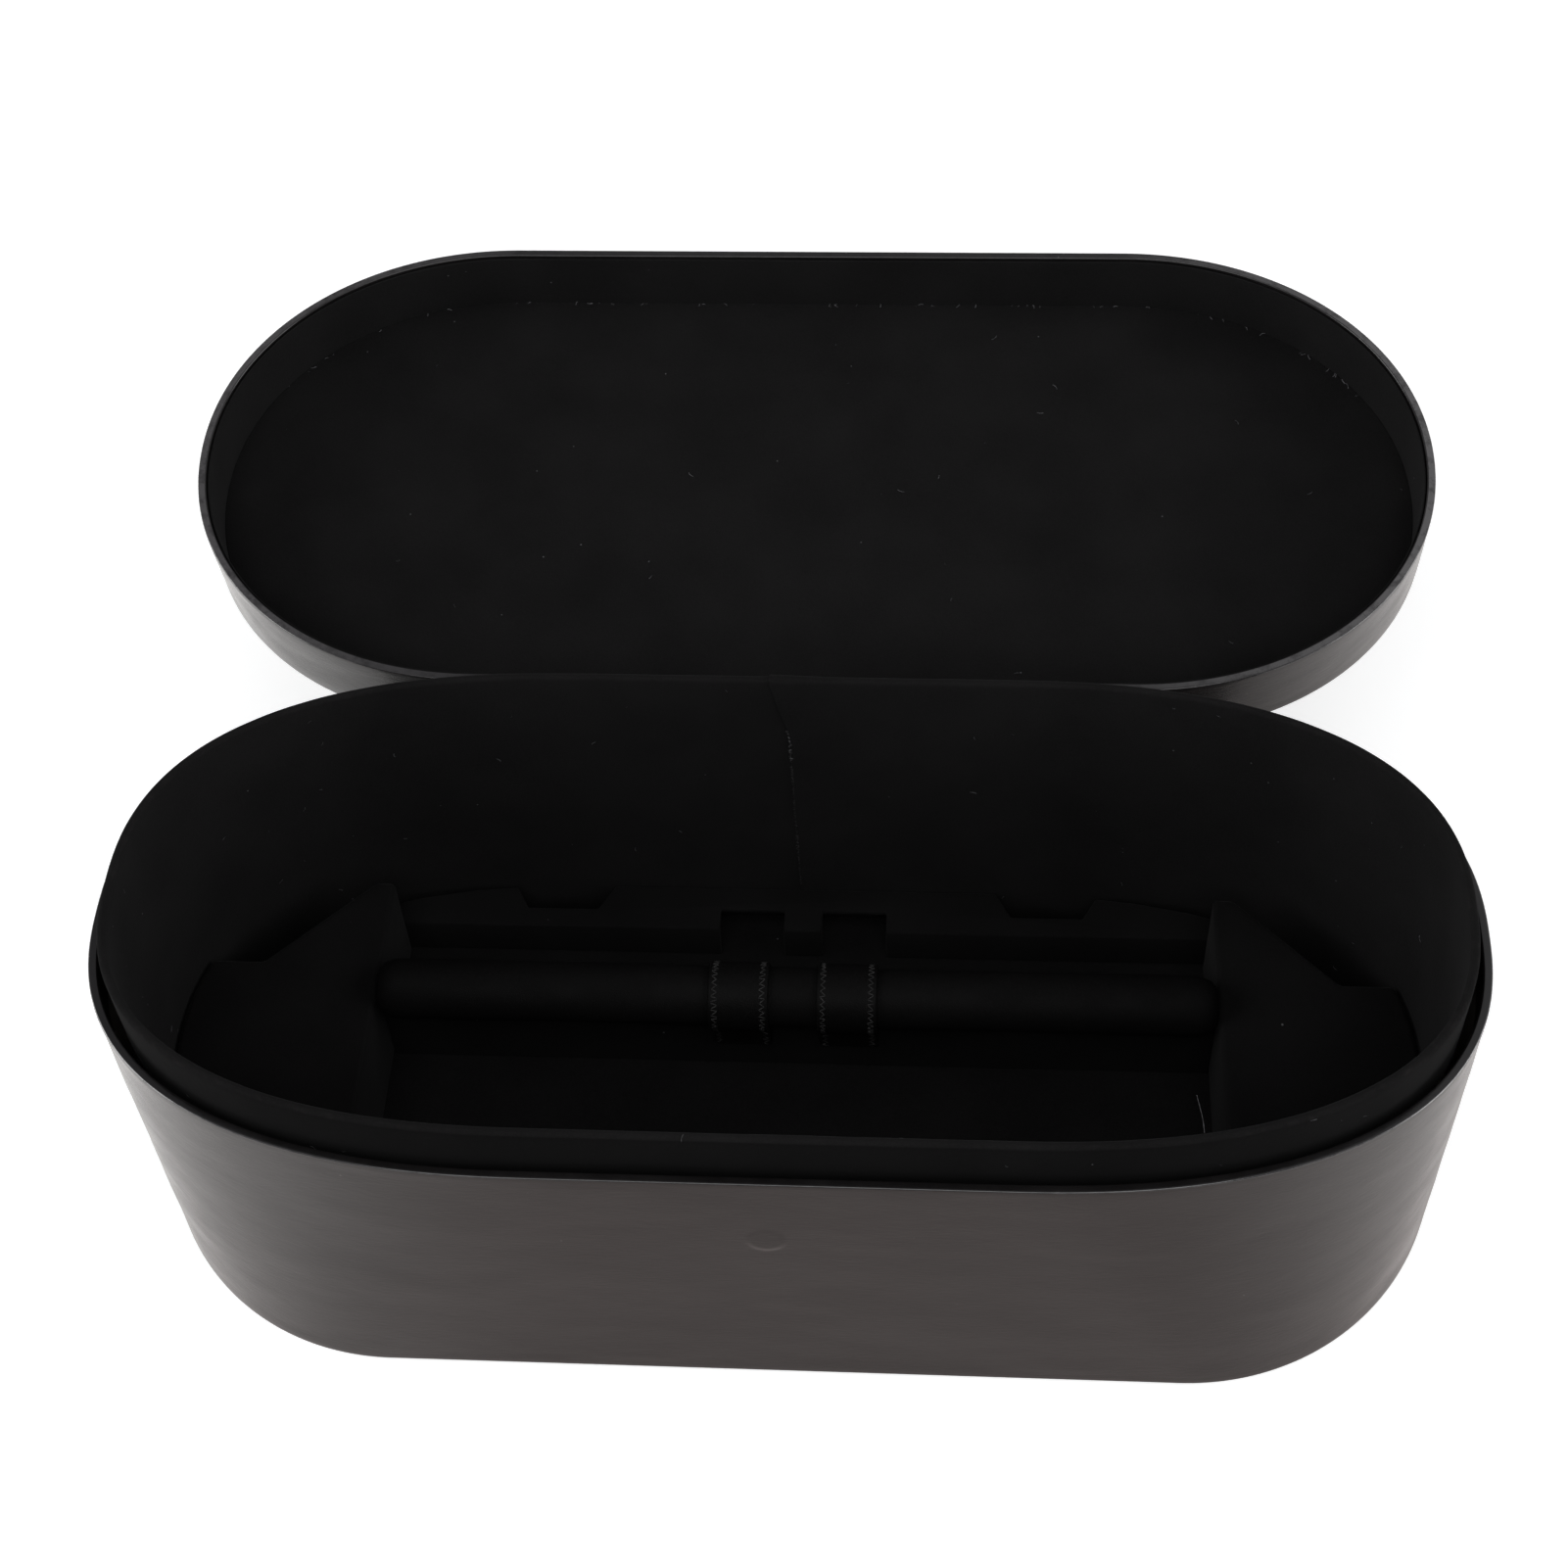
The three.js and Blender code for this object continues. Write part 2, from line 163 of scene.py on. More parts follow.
def makeTree(name, kind, inputs, outputs):
    # an input's kind shows in its first value, and None stands for a material
    kinds = {float: "Float", int: "Int", tuple: "Vector", type(None): "Material"}
    tree = bpy.data.node_groups.new(name, kind + "NodeTree")

    def addSocket(label, way, socketKind):
        return tree.interface.new_socket(name=label, in_out=way, socket_type="NodeSocket" + socketKind)

    if "Geometry" in outputs:
        addSocket("Geometry", "INPUT", "Geometry")
        inputs = {**inputs, "Finish": None}
    for label, value in inputs.items():
        socket = addSocket(label, "INPUT", kinds[type(value)])
        if value is not None:
            socket.default_value = value
    for label in outputs:
        addSocket(label, "OUTPUT", {"Geometry": "Geometry", "Place": "Vector"}.get(label, "Float"))
    return tree, tree.nodes.new("NodeGroupInput").outputs, tree.nodes.new("NodeGroupOutput").inputs


def finishTree(given, made, geometry):
    # the export drops instances, so they are made real
    tree = geometry.id_data
    real = addShape(tree, "RealizeInstances", {"Geometry": geometry})
    plug(made["Geometry"], addShape(tree, "SetMaterial", {"Geometry": real, "Material": given["Finish"]}))
    return tree


def drawn(tree, seed, low, high):
    inputs = {"Seed": seed, 2: low, 3: high}
    return addNode(tree, "FunctionNodeRandomValue", inputs, data_type="FLOAT").outputs[1]


def waving(place, seed, scale):
    inputs = {"Vector": place, "W": seed, "Scale": scale}
    return addNode(place.id_data, "ShaderNodeTexNoise", inputs, noise_dimensions="4D").outputs


def spun(rotation, axis, angle, space):
    tree = rotation.id_data
    about = addNode(tree, "FunctionNodeAxisAngleToRotation", {"Axis": axis, "Angle": angle}).outputs[0]
    inputs = {"Rotation": rotation, "Rotate By": about}
    return addNode(tree, "FunctionNodeRotateRotation", inputs, rotation_space=space).outputs[0]


def sweep(curve, section):
    inputs = {"Curve": curve, "Profile Curve": section, "Fill Caps": True}
    return addShape(curve.id_data, "CurveToMesh", inputs)


def circle(tree, sides, radius):
    return addShape(tree, "CurvePrimitiveCircle", {"Resolution": sides, "Radius": radius})


def useGroup(group, **values):
    kind = "ShaderNodeGroup" if group.bl_idname == "ShaderNodeTree" else "GeometryNodeGroup"
    node = addNode(treeOf(values.values()), kind, node_tree=group)
    for socket in node.inputs:
        key = socket.name[0].lower() + socket.name[1:].replace(" ", "")
        if key in values:
            plug(socket, values[key])
    return node.outputs


# Shader groups that several finishes share

patternInputs = {"Place": (0.0, 0.0, 0.0), "Depth": 1.0}


def noiseAt(place, size, stretch=(1, 1, 1), detail=2.0, roughness=0.5):
    spread = vectorCalc("MULTIPLY", place, [entry / size for entry in stretch])
    inputs = {"Vector": spread, "Scale": 1.0, "Detail": detail, "Roughness": roughness}
    return addNode(place.id_data, "ShaderNodeTexNoise", inputs).outputs["Fac"]


def makeClothGrain():
    # rolled grain of the leathercloth: fine, and a little drawn out along the wall
    tree, given, made = makeTree("rolledGrain", "Shader", patternInputs, ["Height", "Tone"])
    pores = noiseAt(given["Place"], 0.00055, (0.2, 0.2, 1.0), 3.0, 0.6)
    streaks = noiseAt(given["Place"], 0.0012, (0.26, 0.26, 1.0), 4.0, 0.65)
    mottle = noiseAt(given["Place"], 0.006, (0.5, 0.5, 1.0), 3.0, 0.6)
    total = plus(plus(times(pores, 0.7), streaks), times(mottle, 0.6))
    plug(made["Height"], times(total, given["Depth"]))
    plug(made["Tone"], ramp(plus(streaks, mottle), 0.7, 1.3))
    return tree


def makeCreases():
    # short creases where the sheet was stretched round the wall
    tree, given, made = makeTree("stretchCreases", "Shader", patternInputs, ["Height", "Mask"])
    wander = noiseAt(given["Place"], 0.007, (0.25, 0.25, 1.0), 0.0)
    line = ramp(calc("ABSOLUTE", minus(wander, 0.5)), 0.0, 0.04, 1.0, 0.0)
    where = ramp(noiseAt(given["Place"], 0.014, (1.0, 1.0, 1.4), 1.0), 0.6, 0.72)
    mask = times(line, where)
    plug(made["Mask"], mask)
    plug(made["Height"], times(mask, times(given["Depth"], -1.0)))
    return tree


def makeClouds():
    tree, given, made = makeTree("slowClouds", "Shader", {"Place": (0.0, 0.0, 0.0)}, ["Broad", "Middle"])
    plug(made["Broad"], ramp(noiseAt(given["Place"], 0.045), 0.3, 0.7))
    plug(made["Middle"], ramp(noiseAt(given["Place"], 0.011, (0.6, 0.6, 1)), 0.3, 0.7))
    return tree


def makeNap():
    # raised fibres of the felt, brushed into patches
    tree, given, made = makeTree("feltNap", "Shader", patternInputs, ["Height", "Tone"])
    fibres = noiseAt(given["Place"], 0.00032, detail=3.0, roughness=0.7)
    tufts = noiseAt(given["Place"], 0.0017, detail=3.0, roughness=0.6)
    patches = noiseAt(given["Place"], 0.03)
    plug(made["Height"], times(plus(times(fibres, 0.6), tufts), given["Depth"]))
    plug(made["Tone"], ramp(plus(times(fibres, 0.8), times(patches, 0.3)), 0.34, 0.76))
    return tree


def makePebbles():
    # pebbled leather: domes with fine valleys between them
    tree, given, made = makeTree("pebbledLeather", "Shader", patternInputs, ["Height", "Valley"])
    jitter = addNode(tree, "ShaderNodeTexNoise", {"Vector": given["Place"], "Scale": 900.0, "Detail": 1.0})
    shaken = vectorCalc("ADD", given["Place"], scaled(jitter.outputs["Color"], 0.0004))
    inputs = {"Vector": shaken, "Scale": 1700.0}
    cells = addNode(tree, "ShaderNodeTexVoronoi", inputs, feature="DISTANCE_TO_EDGE")
    dome = ramp(cells.outputs["Distance"], 0.0, 0.4)
    swell = noiseAt(given["Place"], 0.004)
    plug(made["Height"], times(plus(dome, swell), given["Depth"]))
    plug(made["Valley"], minus(1.0, dome))
    return tree


def makeSpecks():
    # dust caught here and there
    inputs = {"Place": (0.0, 0.0, 0.0), "Spacing": 0.01}
    tree, given, made = makeTree("dustSpecks", "Shader", inputs, ["Mask"])
    spread = scaled(given["Place"], over(1.0, given["Spacing"]))
    cells = addNode(tree, "ShaderNodeTexVoronoi", {"Vector": spread, "Scale": 1.0})
    draw = addNode(tree, "ShaderNodeSeparateColor", {"Color": cells.outputs["Color"]}).outputs[0]
    dot = ramp(cells.outputs["Distance"], 0.03, 0.05, 1.0, 0.0)
    plug(made["Mask"], times(ramp(draw, 0.86, 0.87), dot))
    return tree


def makeEdgeWearAndHighlight():
    # rubbed edges, which on the leathercloth's rims also carry a painted highlight line: the mesh marks where
    # they are, and patches break them up
    inputs = {"Place": (0.0, 0.0, 0.0), "Edge": 0.0, "Amount": 0.5, "Rarity": 0.3, "Least": 0.0}
    tree, given, made = makeTree("edgeWear", "Shader", inputs, ["Mask"])
    field = noiseAt(given["Place"], 0.004, detail=4.0, roughness=0.7)
    patches = ramp(field, given["Rarity"], plus(given["Rarity"], 0.25), given["Least"])
    plug(made["Mask"], times(times(given["Edge"], patches), given["Amount"]))
    return tree


rolledGrain = makeClothGrain()
stretchCreases = makeCreases()
slowClouds = makeClouds()
feltNap = makeNap()
pebbledLeather = makePebbles()
dustSpecks = makeSpecks()
edgeWear = makeEdgeWearAndHighlight()


# Finishes

def newFinish(name, **shaderValues):
    material = bpy.data.materials.new(name)
    material.use_nodes = True
    tree = material.node_tree
    shader = tree.nodes["Principled BSDF"].inputs
    for key, value in shaderValues.items():
        shader[key].default_value = value
    place = tree.nodes.new("ShaderNodeTexCoord").outputs["Object"]
    return material, tree, shader, place


def setBump(shader, height):
    # heights are millimetres
    bump = addNode(height.id_data, "ShaderNodeBump", {"Height": height, "Strength": 1.0, "Distance": 0.001})
    plug(shader["Normal"], bump.outputs["Normal"])


def meshMark(tree, name):
    return addNode(tree, "ShaderNodeAttribute", attribute_name=name).outputs["Fac"]


leathercloth = {
    "dark": (0.0046, 0.0042, 0.0043, 1),
    "pale": (0.0085, 0.0078, 0.0079, 1),
    # pale edge colour: wear, and a painted highlight line along the rims
    "worn": (0.045, 0.042, 0.043, 1),
    "dust": (0.11, 0.105, 0.10, 1),
    "dustSpacing": 0.0055,
    "wear": {"amount": 0.85, "rarity": 0.3, "least": 0.3},
    "roughness": (0.16, 0.26),
    "grainDepth": 0.042,
    "creaseDepth": 0.012,
    "shader": {"Specular IOR Level": 0.44, "Coat IOR": 1.7, "Coat Roughness": 0.12},
}


def makeLeathercloth():
    material, tree, shader, place = newFinish("wrapLeathercloth", **leathercloth["shader"])
    grain = useGroup(rolledGrain, place=place, depth=leathercloth["grainDepth"])
    creases = useGroup(stretchCreases, place=place, depth=leathercloth["creaseDepth"])
    clouds = useGroup(slowClouds, place=place)
    specks = useGroup(dustSpecks, place=place, spacing=leathercloth["dustSpacing"])
    wear = useGroup(edgeWear, place=place, edge=meshMark(tree, "edge"), **leathercloth["wear"])
    tone = times(plus(grain["Tone"], clouds["Broad"]), 0.5)
    color = blended(tone, leathercloth["dark"], leathercloth["pale"])
    # marked edges turn pale, as wear and as a painted highlight
    rubbed = blended(wear["Mask"], color, leathercloth["worn"])
    plug(shader["Base Color"], blended(specks["Mask"], rubbed, leathercloth["dust"]))
    plug(shader["Coat Weight"], wear["Mask"])
    mixed = plus(times(clouds["Middle"], 0.6), times(grain["Tone"], 0.4))
    plug(shader["Roughness"], ramp(mixed, 0.0, 1.0, *leathercloth["roughness"], curve="LINEAR"))
    setBump(shader, plus(grain["Height"], creases["Height"]))
    return material


feltFinish = {
    "dark": (0.0056, 0.0055, 0.0056),
    "pale": (0.0116, 0.0114, 0.0115),
    # painted shade: near black mixed in where the mesh marks it
    "laid": (0.0006, 0.0006, 0.0006, 1),
    "laying": 0.42,
    "rubbed": (0.024, 0.0215, 0.022, 1),
    "wear": {"amount": 0.8, "rarity": 0.48},
    "lint": (0.10, 0.10, 0.105, 1),
    "napDepth": 0.06,
    "shader": {"Roughness": 1.0, "Specular IOR Level": 0.02, "Sheen Weight": 0.02, "Sheen Roughness": 0.4},
}


def makeFelt(name, speckSpacing, shade=1.0):
    material, tree, shader, place = newFinish(name, **feltFinish["shader"])
    nap = useGroup(feltNap, place=place, depth=feltFinish["napDepth"])
    specks = useGroup(dustSpecks, place=place, spacing=speckSpacing)
    wear = useGroup(edgeWear, place=place, edge=meshMark(tree, "edge"), **feltFinish["wear"])
    dark, pale = ([*(entry * shade for entry in feltFinish[key]), 1] for key in ("dark", "pale"))
    standing = blended(nap["Tone"], dark, pale)
    # painted shade: the marked outer face is darkened
    color = blended(times(meshMark(tree, "lay"), feltFinish["laying"]), standing, feltFinish["laid"])
    rubbed = blended(wear["Mask"], color, feltFinish["rubbed"])
    plug(shader["Base Color"], blended(specks["Mask"], rubbed, feltFinish["lint"]))
    setBump(shader, nap["Height"])
    return material


rollFinish = {
    "dark": (0.003, 0.0029, 0.0029, 1),
    "pale": (0.0054, 0.0052, 0.0052, 1),
    "grainDepth": 0.045,
    "roughnessSpan": 0.12,
}


def makeRollLeather(name, roughness):
    material, tree, shader, place = newFinish(name, **{"Specular IOR Level": 0.04})
    pebbles = useGroup(pebbledLeather, place=place, depth=rollFinish["grainDepth"])
    clouds = useGroup(slowClouds, place=place)
    plug(shader["Base Color"], blended(pebbles["Valley"], rollFinish["pale"], rollFinish["dark"]))
    rougher = roughness + rollFinish["roughnessSpan"]
    plug(shader["Roughness"], ramp(clouds["Middle"], 0.0, 1.0, roughness, rougher))
    setBump(shader, pebbles["Height"])
    return material


boardFinish = {
    "dark": (0.12, 0.105, 0.09, 1),
    "pale": (0.2, 0.18, 0.155, 1),
    "napDepth": 0.03,
    "roughness": 0.9,
}


def makeGreyboard():
    material, tree, shader, place = newFinish("greyboard", Roughness=boardFinish["roughness"])
    fibres = useGroup(feltNap, place=place, depth=boardFinish["napDepth"])
    plug(shader["Base Color"], blended(fibres["Tone"], boardFinish["dark"], boardFinish["pale"]))
    setBump(shader, fibres["Height"])
    return material


# dark, pale and roughness of each thread
threadFinishes = {
    "strapThread": ((0.003, 0.003, 0.003), (0.022, 0.0215, 0.021), 0.35),
    "lintThread": ((0.05, 0.05, 0.053), (0.16, 0.16, 0.17), 0.8),
    "feltFuzz": ((0.014, 0.014, 0.014), (0.045, 0.044, 0.045), 0.9),
}


def makeThread(name):
    dark, pale, roughness = threadFinishes[name]
    material, tree, shader, place = newFinish(name, **{"Roughness": roughness, "Specular IOR Level": 0.3})
    inputs = {"Vector": place, "Scale": 700.0, "Detail": 3.0, "Roughness": 0.7}
    twist = addNode(tree, "ShaderNodeTexNoise", inputs)
    plug(shader["Base Color"], blended(ramp(twist.outputs["Fac"], 0.35, 0.65), (*dark, 1), (*pale, 1)))
    return material


leatherclothFinish = makeLeathercloth()
liningFelt = makeFelt("liningFelt", 0.0055)
insertFelt = makeFelt("insertFelt", 0.008, 0.76)
# painted light: the insert floor's felt is a lighter copy of the insert felt, lifting its shaded floor
insertFloorFelt = makeFelt("insertFloorFelt", 0.008, 0.95)
rollLeather = makeRollLeather("rollLeather", 0.6)
strapLeather = makeRollLeather("strapLeather", 0.46)
greyboard = makeGreyboard()
strapThread, lintThread, feltFuzz = map(makeThread, threadFinishes)
print("finishes made")


# Turning pieces into plain meshes

def newPiece(name, mesh):
    piece = bpy.data.objects.new(name, mesh)
    scene.collection.objects.link(piece)
    return piece


def meshPiece(name, points, edges=(), faces=()):
    mesh = bpy.data.meshes.new(name)
    mesh.from_pydata(points, edges, faces)
    return newPiece(name, mesh)


def latticeFaces(rows, columns, closed=False, around=True):
    faces = []
    for row in range(rows if closed else rows - 1):
        here, above = row * columns, (row + 1) % rows * columns
        for column in range(columns if around else columns - 1):
            beside = (column + 1) % columns
            faces.append((here + column, here + beside, above + beside, above + column))
    return faces


@contextmanager
def editing(mesh):
    work = bmesh.new()
    work.from_mesh(mesh)
    yield work
    work.to_mesh(mesh)
    work.free()


def mark(mesh, label, values):
    mesh.attributes.new(label, "FLOAT", "POINT").data.foreach_set("value", values)


def settle(piece):
    # takes the result of the piece's modifiers as its mesh
    bpy.context.view_layer.update()
    graph = bpy.context.evaluated_depsgraph_get()
    mesh = bpy.data.meshes.new_from_object(piece.evaluated_get(graph))
    piece.modifiers.clear()
    piece.data = mesh


def growWith(piece, tree, values):
    modifier = piece.modifiers.new(tree.name, "NODES")
    modifier.node_group = tree
    sockets = {item.name: item.identifier for item in tree.interface.items_tree if item.in_out == "INPUT"}
    for label, value in values.items():
        modifier[sockets[label]] = value
    settle(piece)


def turnOutwards(piece):
    with editing(piece.data) as work:
        bmesh.ops.remove_doubles(work, verts=work.verts, dist=1e-7)
        bmesh.ops.recalc_face_normals(work, faces=work.faces)


def smoothFaces(piece, sharpDegrees=35):
    for face in piece.data.polygons:
        face.use_smooth = True
    piece.data.set_sharp_from_angle(angle=math.radians(sharpDegrees))


def finishPiece(piece, body, slot, *nodes, material=None):
    if material:
        piece.data.materials.clear()
        piece.data.materials.append(material)
    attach(piece, body)
    if nodes:
        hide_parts(*nodes)
    return piece


# Shells: rows of [inset, level] corners wrapped round the plan outline

def makeRoundedEnd():
    # where an outline's skin faces a direction: a rounded end of a given length and power
    inputs = {
        "Turn": 0.0,
        "Side": 0.0,
        "Inset": 0.0,
        "Half Length": 0.19,
        "Half Depth": 0.082,
        "End Length": 0.1,
        "Power": 2.0,
    }
    tree, given, made = makeTree("roundedEnd", "Geometry", inputs, ["Place"])
    east, north = calc("COSINE", given["Turn"]), calc("SINE", given["Turn"])
    along = times(given["End Length"], calc("ABSOLUTE", east))
    across = times(given["Half Depth"], calc("ABSOLUTE", north))
    conjugate = over(given["Power"], minus(given["Power"], 1.0))
    lesser = minus(conjugate, 1.0)
    total = plus(calc("POWER", along, conjugate), calc("POWER", across, conjugate))
    scale = calc("POWER", total, over(-1.0, given["Power"]))
    reach = times(times(given["End Length"], scale), calc("POWER", along, lesser))
    breadth = times(times(given["Half Depth"], scale), calc("POWER", across, lesser))
    start = times(given["Side"], minus(given["Half Length"], given["End Length"]))
    x = minus(plus(start, times(reach, calc("SIGN", east))), times(given["Inset"], east))
    y = minus(times(breadth, calc("SIGN", north)), times(given["Inset"], north))
    plug(made["Place"], addNode(tree, "ShaderNodeCombineXYZ", {"X": x, "Y": y}).outputs[0])
    return tree


def makeShellTree():
    inputs = {
        "Half Length": 0.19,
        "Half Depth": 0.082,
        "Foot End": 0.077,
        "Foot Power": 2.0,
        "Rim End": 0.13,
        "Rim Power": 2.4,
        "Rim Height": 0.107,
        "Swell Depth": 0.0,
        "Swell Size": 0.03,
        "Swell Seed": 0.0,
        "Disc Place": (0.0, 0.0, -1.0),
        "Disc Radius": 0.005,
        "Disc Lift": 0.0,
    }
    roundedEnd = makeRoundedEnd()
    tree, given, made = makeTree("wrappedShell", "Geometry", inputs, ["Geometry"])
    stored = {}
    for label in ("turn", "side", "inset", "level", "give", "shrink"):
        stored[label] = addShape(tree, "InputNamedAttribute", {"Name": label}, data_type="FLOAT")
    common = {label: stored[label] for label in ("turn", "side", "inset")}
    common.update(halfLength=given["Half Length"], halfDepth=given["Half Depth"])
    foot = useGroup(roundedEnd, endLength=given["Foot End"], power=given["Foot Power"], **common)["Place"]
    rim = useGroup(roundedEnd, endLength=given["Rim End"], power=given["Rim Power"], **common)["Place"]
    share = ramp(over(stored["level"], given["Rim Height"]), 0.0, 1.0, curve="LINEAR")
    plan = scaled(blended(share, foot, rim, "VECTOR"), stored["shrink"])
    lift = addNode(tree, "ShaderNodeCombineXYZ", {"Z": stored["level"]}).outputs[0]
    placed = {"Geometry": given["Geometry"], "Position": vectorCalc("ADD", plan, lift)}
    placed = addShape(tree, "SetPosition", placed)

    # slow swells of a hand-wrapped sheet, longer along the wall than up it
    position = addShape(tree, "InputPosition")
    field = scaled(vectorCalc("MULTIPLY", position, (1.0, 1.0, 2.0)), over(1.0, given["Swell Size"]))
    waves = waving(field, given["Swell Seed"], 1.0)["Fac"]
    swell = times(minus(waves, 0.5), times(given["Swell Depth"], 2.0))
    # a round thing under the sheet lifts it, most along its lower edge
    apart = vectorCalc("SUBTRACT", position, given["Disc Place"])
    away = over(vectorCalc("LENGTH", apart), given["Disc Radius"])
    up = over(partsOf(apart)["Z"], given["Disc Radius"])
    disc = times(ramp(away, 0.7, 1.05, 1.0, 0.0), ramp(up, -0.9, 1.0, 1.0, 0.15))
    push = plus(swell, times(disc, given["Disc Lift"]))
    offset = scaled(addShape(tree, "InputNormal"), times(push, stored["give"]))
    swollen = addShape(tree, "SetPosition", {"Geometry": placed, "Offset": offset})
    merged = addShape(tree, "MergeByDistance", {"Geometry": swollen, "Distance": 1e-6})
    return finishTree(given, made, merged)


wrappedShell = makeShellTree()


def planColumns(quarterSteps, straightSteps):
    # [direction that the skin faces, place along the straight part from -1 to 1], anticlockwise
    quarter = []
    for step in range(quarterSteps + 1):
        share = step / quarterSteps
        quarter.append(math.pi / 4 * (share + (1 - math.cos(math.pi * share)) / 2))
    back = [(turn, 1.0) for turn in quarter]
    back += [(math.pi / 2, 1 - 2 * step / straightSteps) for step in range(1, straightSteps)]
    back += [(math.pi - turn, -1.0) for turn in reversed(quarter)]
    front = [(2 * math.pi - turn, side) for turn, side in reversed(back[1:-1])]
    return back + front


def filletCorner(before, corner, after, radius, steps=5):
    if not radius:
        return [corner]
    toBefore, toAfter = (before - corner).normalized(), (after - corner).normalized()
    half = toBefore.angle(toAfter) / 2
    centre = corner + (toBefore + toAfter).normalized() * radius / math.sin(half)
    start = corner + toBefore * radius / math.tan(half) - centre
    end = corner + toAfter * radius / math.tan(half) - centre
    sweep = start.angle(end)
    turned = []
    for step in range(steps + 1):
        share = step / steps
        mixed = start * math.sin((1 - share) * sweep) + end * math.sin(share * sweep)
        turned.append(centre + mixed / math.sin(sweep))
    return turned


def sectionRows(*corners):
    # corners are (inset, level, rounding, step of the side that follows, give, share of rubbing and painted
    # highlight), where zeros at the end are left out, and rows are (inset, level, give, shrink, rubbing and
    # painted highlight)
    easing = 0.006  # a side gives fully this far from its ends
    corners = [(*corner, *[0] * (6 - len(corner))) for corner in corners]
    points = [Vector(corner[:2]) for corner in corners]
    after = points[1:] + points[:1]
    before = points[-1:] + points[:-1]
    rounded = [filletCorner(*around, corner[2]) for *around, corner in zip(before, points, after, corners)]
    rows = []
    for index, (*others, spacing, give, worn) in enumerate(corners):
        last = len(rounded[index]) - 1
        for place, point in enumerate(rounded[index]):
            rows.append((*point, give, 1.0, worn if 0 < place < last else 0.0))
        beyond = (index + 1) % len(corners)
        start, end, nextGive = rounded[index][-1], rounded[beyond][0], corners[beyond][4]
        pieces = max(int((end - start).length / spacing), 1) if spacing else 1
        for step in range(1, pieces):
            share = step / pieces
            eased = min(min(share, 1 - share) * pieces * spacing / easing, 1.0)
            sideGive = max(give + (nextGive - give) * share, eased * max(give, nextGive))
            rows.append((*start.lerp(end, share), sideGive, 1.0, 0.0))
    return rows


def plateRows(inset, low, high, rounding, rings, give=0.0):
    def across(level, order):
        for ring in order:
            shrink = max(ring / rings, 1e-5)
            yield inset + rounding, level, give * min((1 - ring / rings) * 4, 1), shrink, 0.0

    turns = [math.pi / 8 * step for step in range(5)]
    turned = [(rounding * (1 - math.sin(turn)), rounding * (1 - math.cos(turn))) for turn in turns]
    lower = [(inset + first, low + second, 0.0, 1.0, 0.0) for first, second in turned]
    upper = [(inset + second, high - first, 0.0, 1.0, 0.0) for first, second in turned]
    return [*across(low, range(rings)), *lower, *upper, *across(high, reversed(range(rings)))]


def letGive(rows, low, high):
    # the outer face swells between two levels
    return [(*row[:2], 1.0, *row[3:]) if row[0] == 0 and low < row[1] < high else row for row in rows]


fineColumns = planColumns(72, 64)
plainColumns = planColumns(40, 40)
wearAndHighlightAround = {"least": 0.15, "power": 0.5}  # the rounded ends take more rubbing and painted highlight than the straight sides
shellFinishes = {"leathercloth": leatherclothFinish, "felt": liningFelt}
shellEnds = {"body": ("foot", "rim"), "lid": ("lid", "lid")}


def wrapShell(name, node, body, slot, rows, columns=fineColumns, closed=True, **values):
    # the lattice only carries what the tree needs; the tree gives every point its place
    points = [(column, row, 0.0) for row in range(len(rows)) for column in range(len(columns))]
    piece = meshPiece(name, points, faces=latticeFaces(len(rows), len(columns), closed))
    fields = {label: [] for label in ("turn", "side", "inset", "level", "give", "shrink", "edge")}
    least, power = wearAndHighlightAround.values()
    for inset, level, give, shrink, worn in rows:
        for turn, side in columns:
            rubAndHighlight = worn * (least + (1 - least) * abs(math.cos(turn)) ** power)
            for entries, entry in zip(fields.values(), (turn, side, inset, level, give, shrink, rubAndHighlight)):
                entries.append(entry)
    for label, entries in fields.items():
        mark(piece.data, label, entries)
    shape = {"Half Length": boxShape["halfLength"], "Half Depth": boxShape["halfDepth"]}
    shape.update({"Rim Height": boxShape["rimHeight"], "Finish": shellFinishes[slot]})
    for label, outline in zip(("Foot", "Rim"), shellEnds[body]):
        shape[label + " End"] = boxShape[outline + "End"]
        shape[label + " Power"] = boxShape[outline + "Power"]
    growWith(piece, wrappedShell, {**shape, **values})
    if body == "lid":
        piece.data.transform(openLid)
    for label in ("turn", "side", "inset", "level", "shrink"):
        piece.data.attributes.remove(piece.data.attributes[label])
    smoothFaces(piece)
    return finishPiece(piece, body, slot, node)


# Body: the leathercloth round the wall and under the floor

bodyCover = {
    "Swell Depth": 0.0003,
    "Swell Size": 0.045,
    "Swell Seed": 3.0,
    "Disc Place": (-0.0008, -0.082, 0.0783),
    "Disc Radius": 0.0056,
    "Disc Lift": 0.0003,
}
bodyGive = (0.006, 0.1035)
# a finer lattice round the disc: places along the straight front, and levels
discLattice = {"centre": -0.011, "reach": 0.09, "columns": 24, "levels": (0.070, 0.086), "split": 3}
bottomPlate = {"inset": 0.003, "low": 0.0, "high": 0.0004, "rounding": 0.00018, "rings": 8}


def finerColumns(columns):
    ahead, (centre, reach, count, *others) = 1.5 * math.pi, discLattice.values()
    kept = [(turn, side) for turn, side in columns if abs(turn - ahead) > 1e-9 or abs(side - centre) > reach]
    later = [abs(turn - ahead) < 1e-9 and side > centre for turn, side in kept]
    spot = later.index(True)
    added = [(ahead, centre + reach * (2 * step / count - 1)) for step in range(count + 1)]
    return kept[:spot] + added + kept[spot:]


def finerRows(rows):
    (low, high), split = discLattice["levels"], discLattice["split"]
    finer = []
    for row, after in zip(rows, rows[1:] + rows[:1]):
        finer.append(row)
        if row[0] == after[0] == 0 and low < row[1] < after[1] < high:
            finer += [(0, row[1] + (after[1] - row[1]) * step / split, *row[2:]) for step in range(1, split)]
    return finer


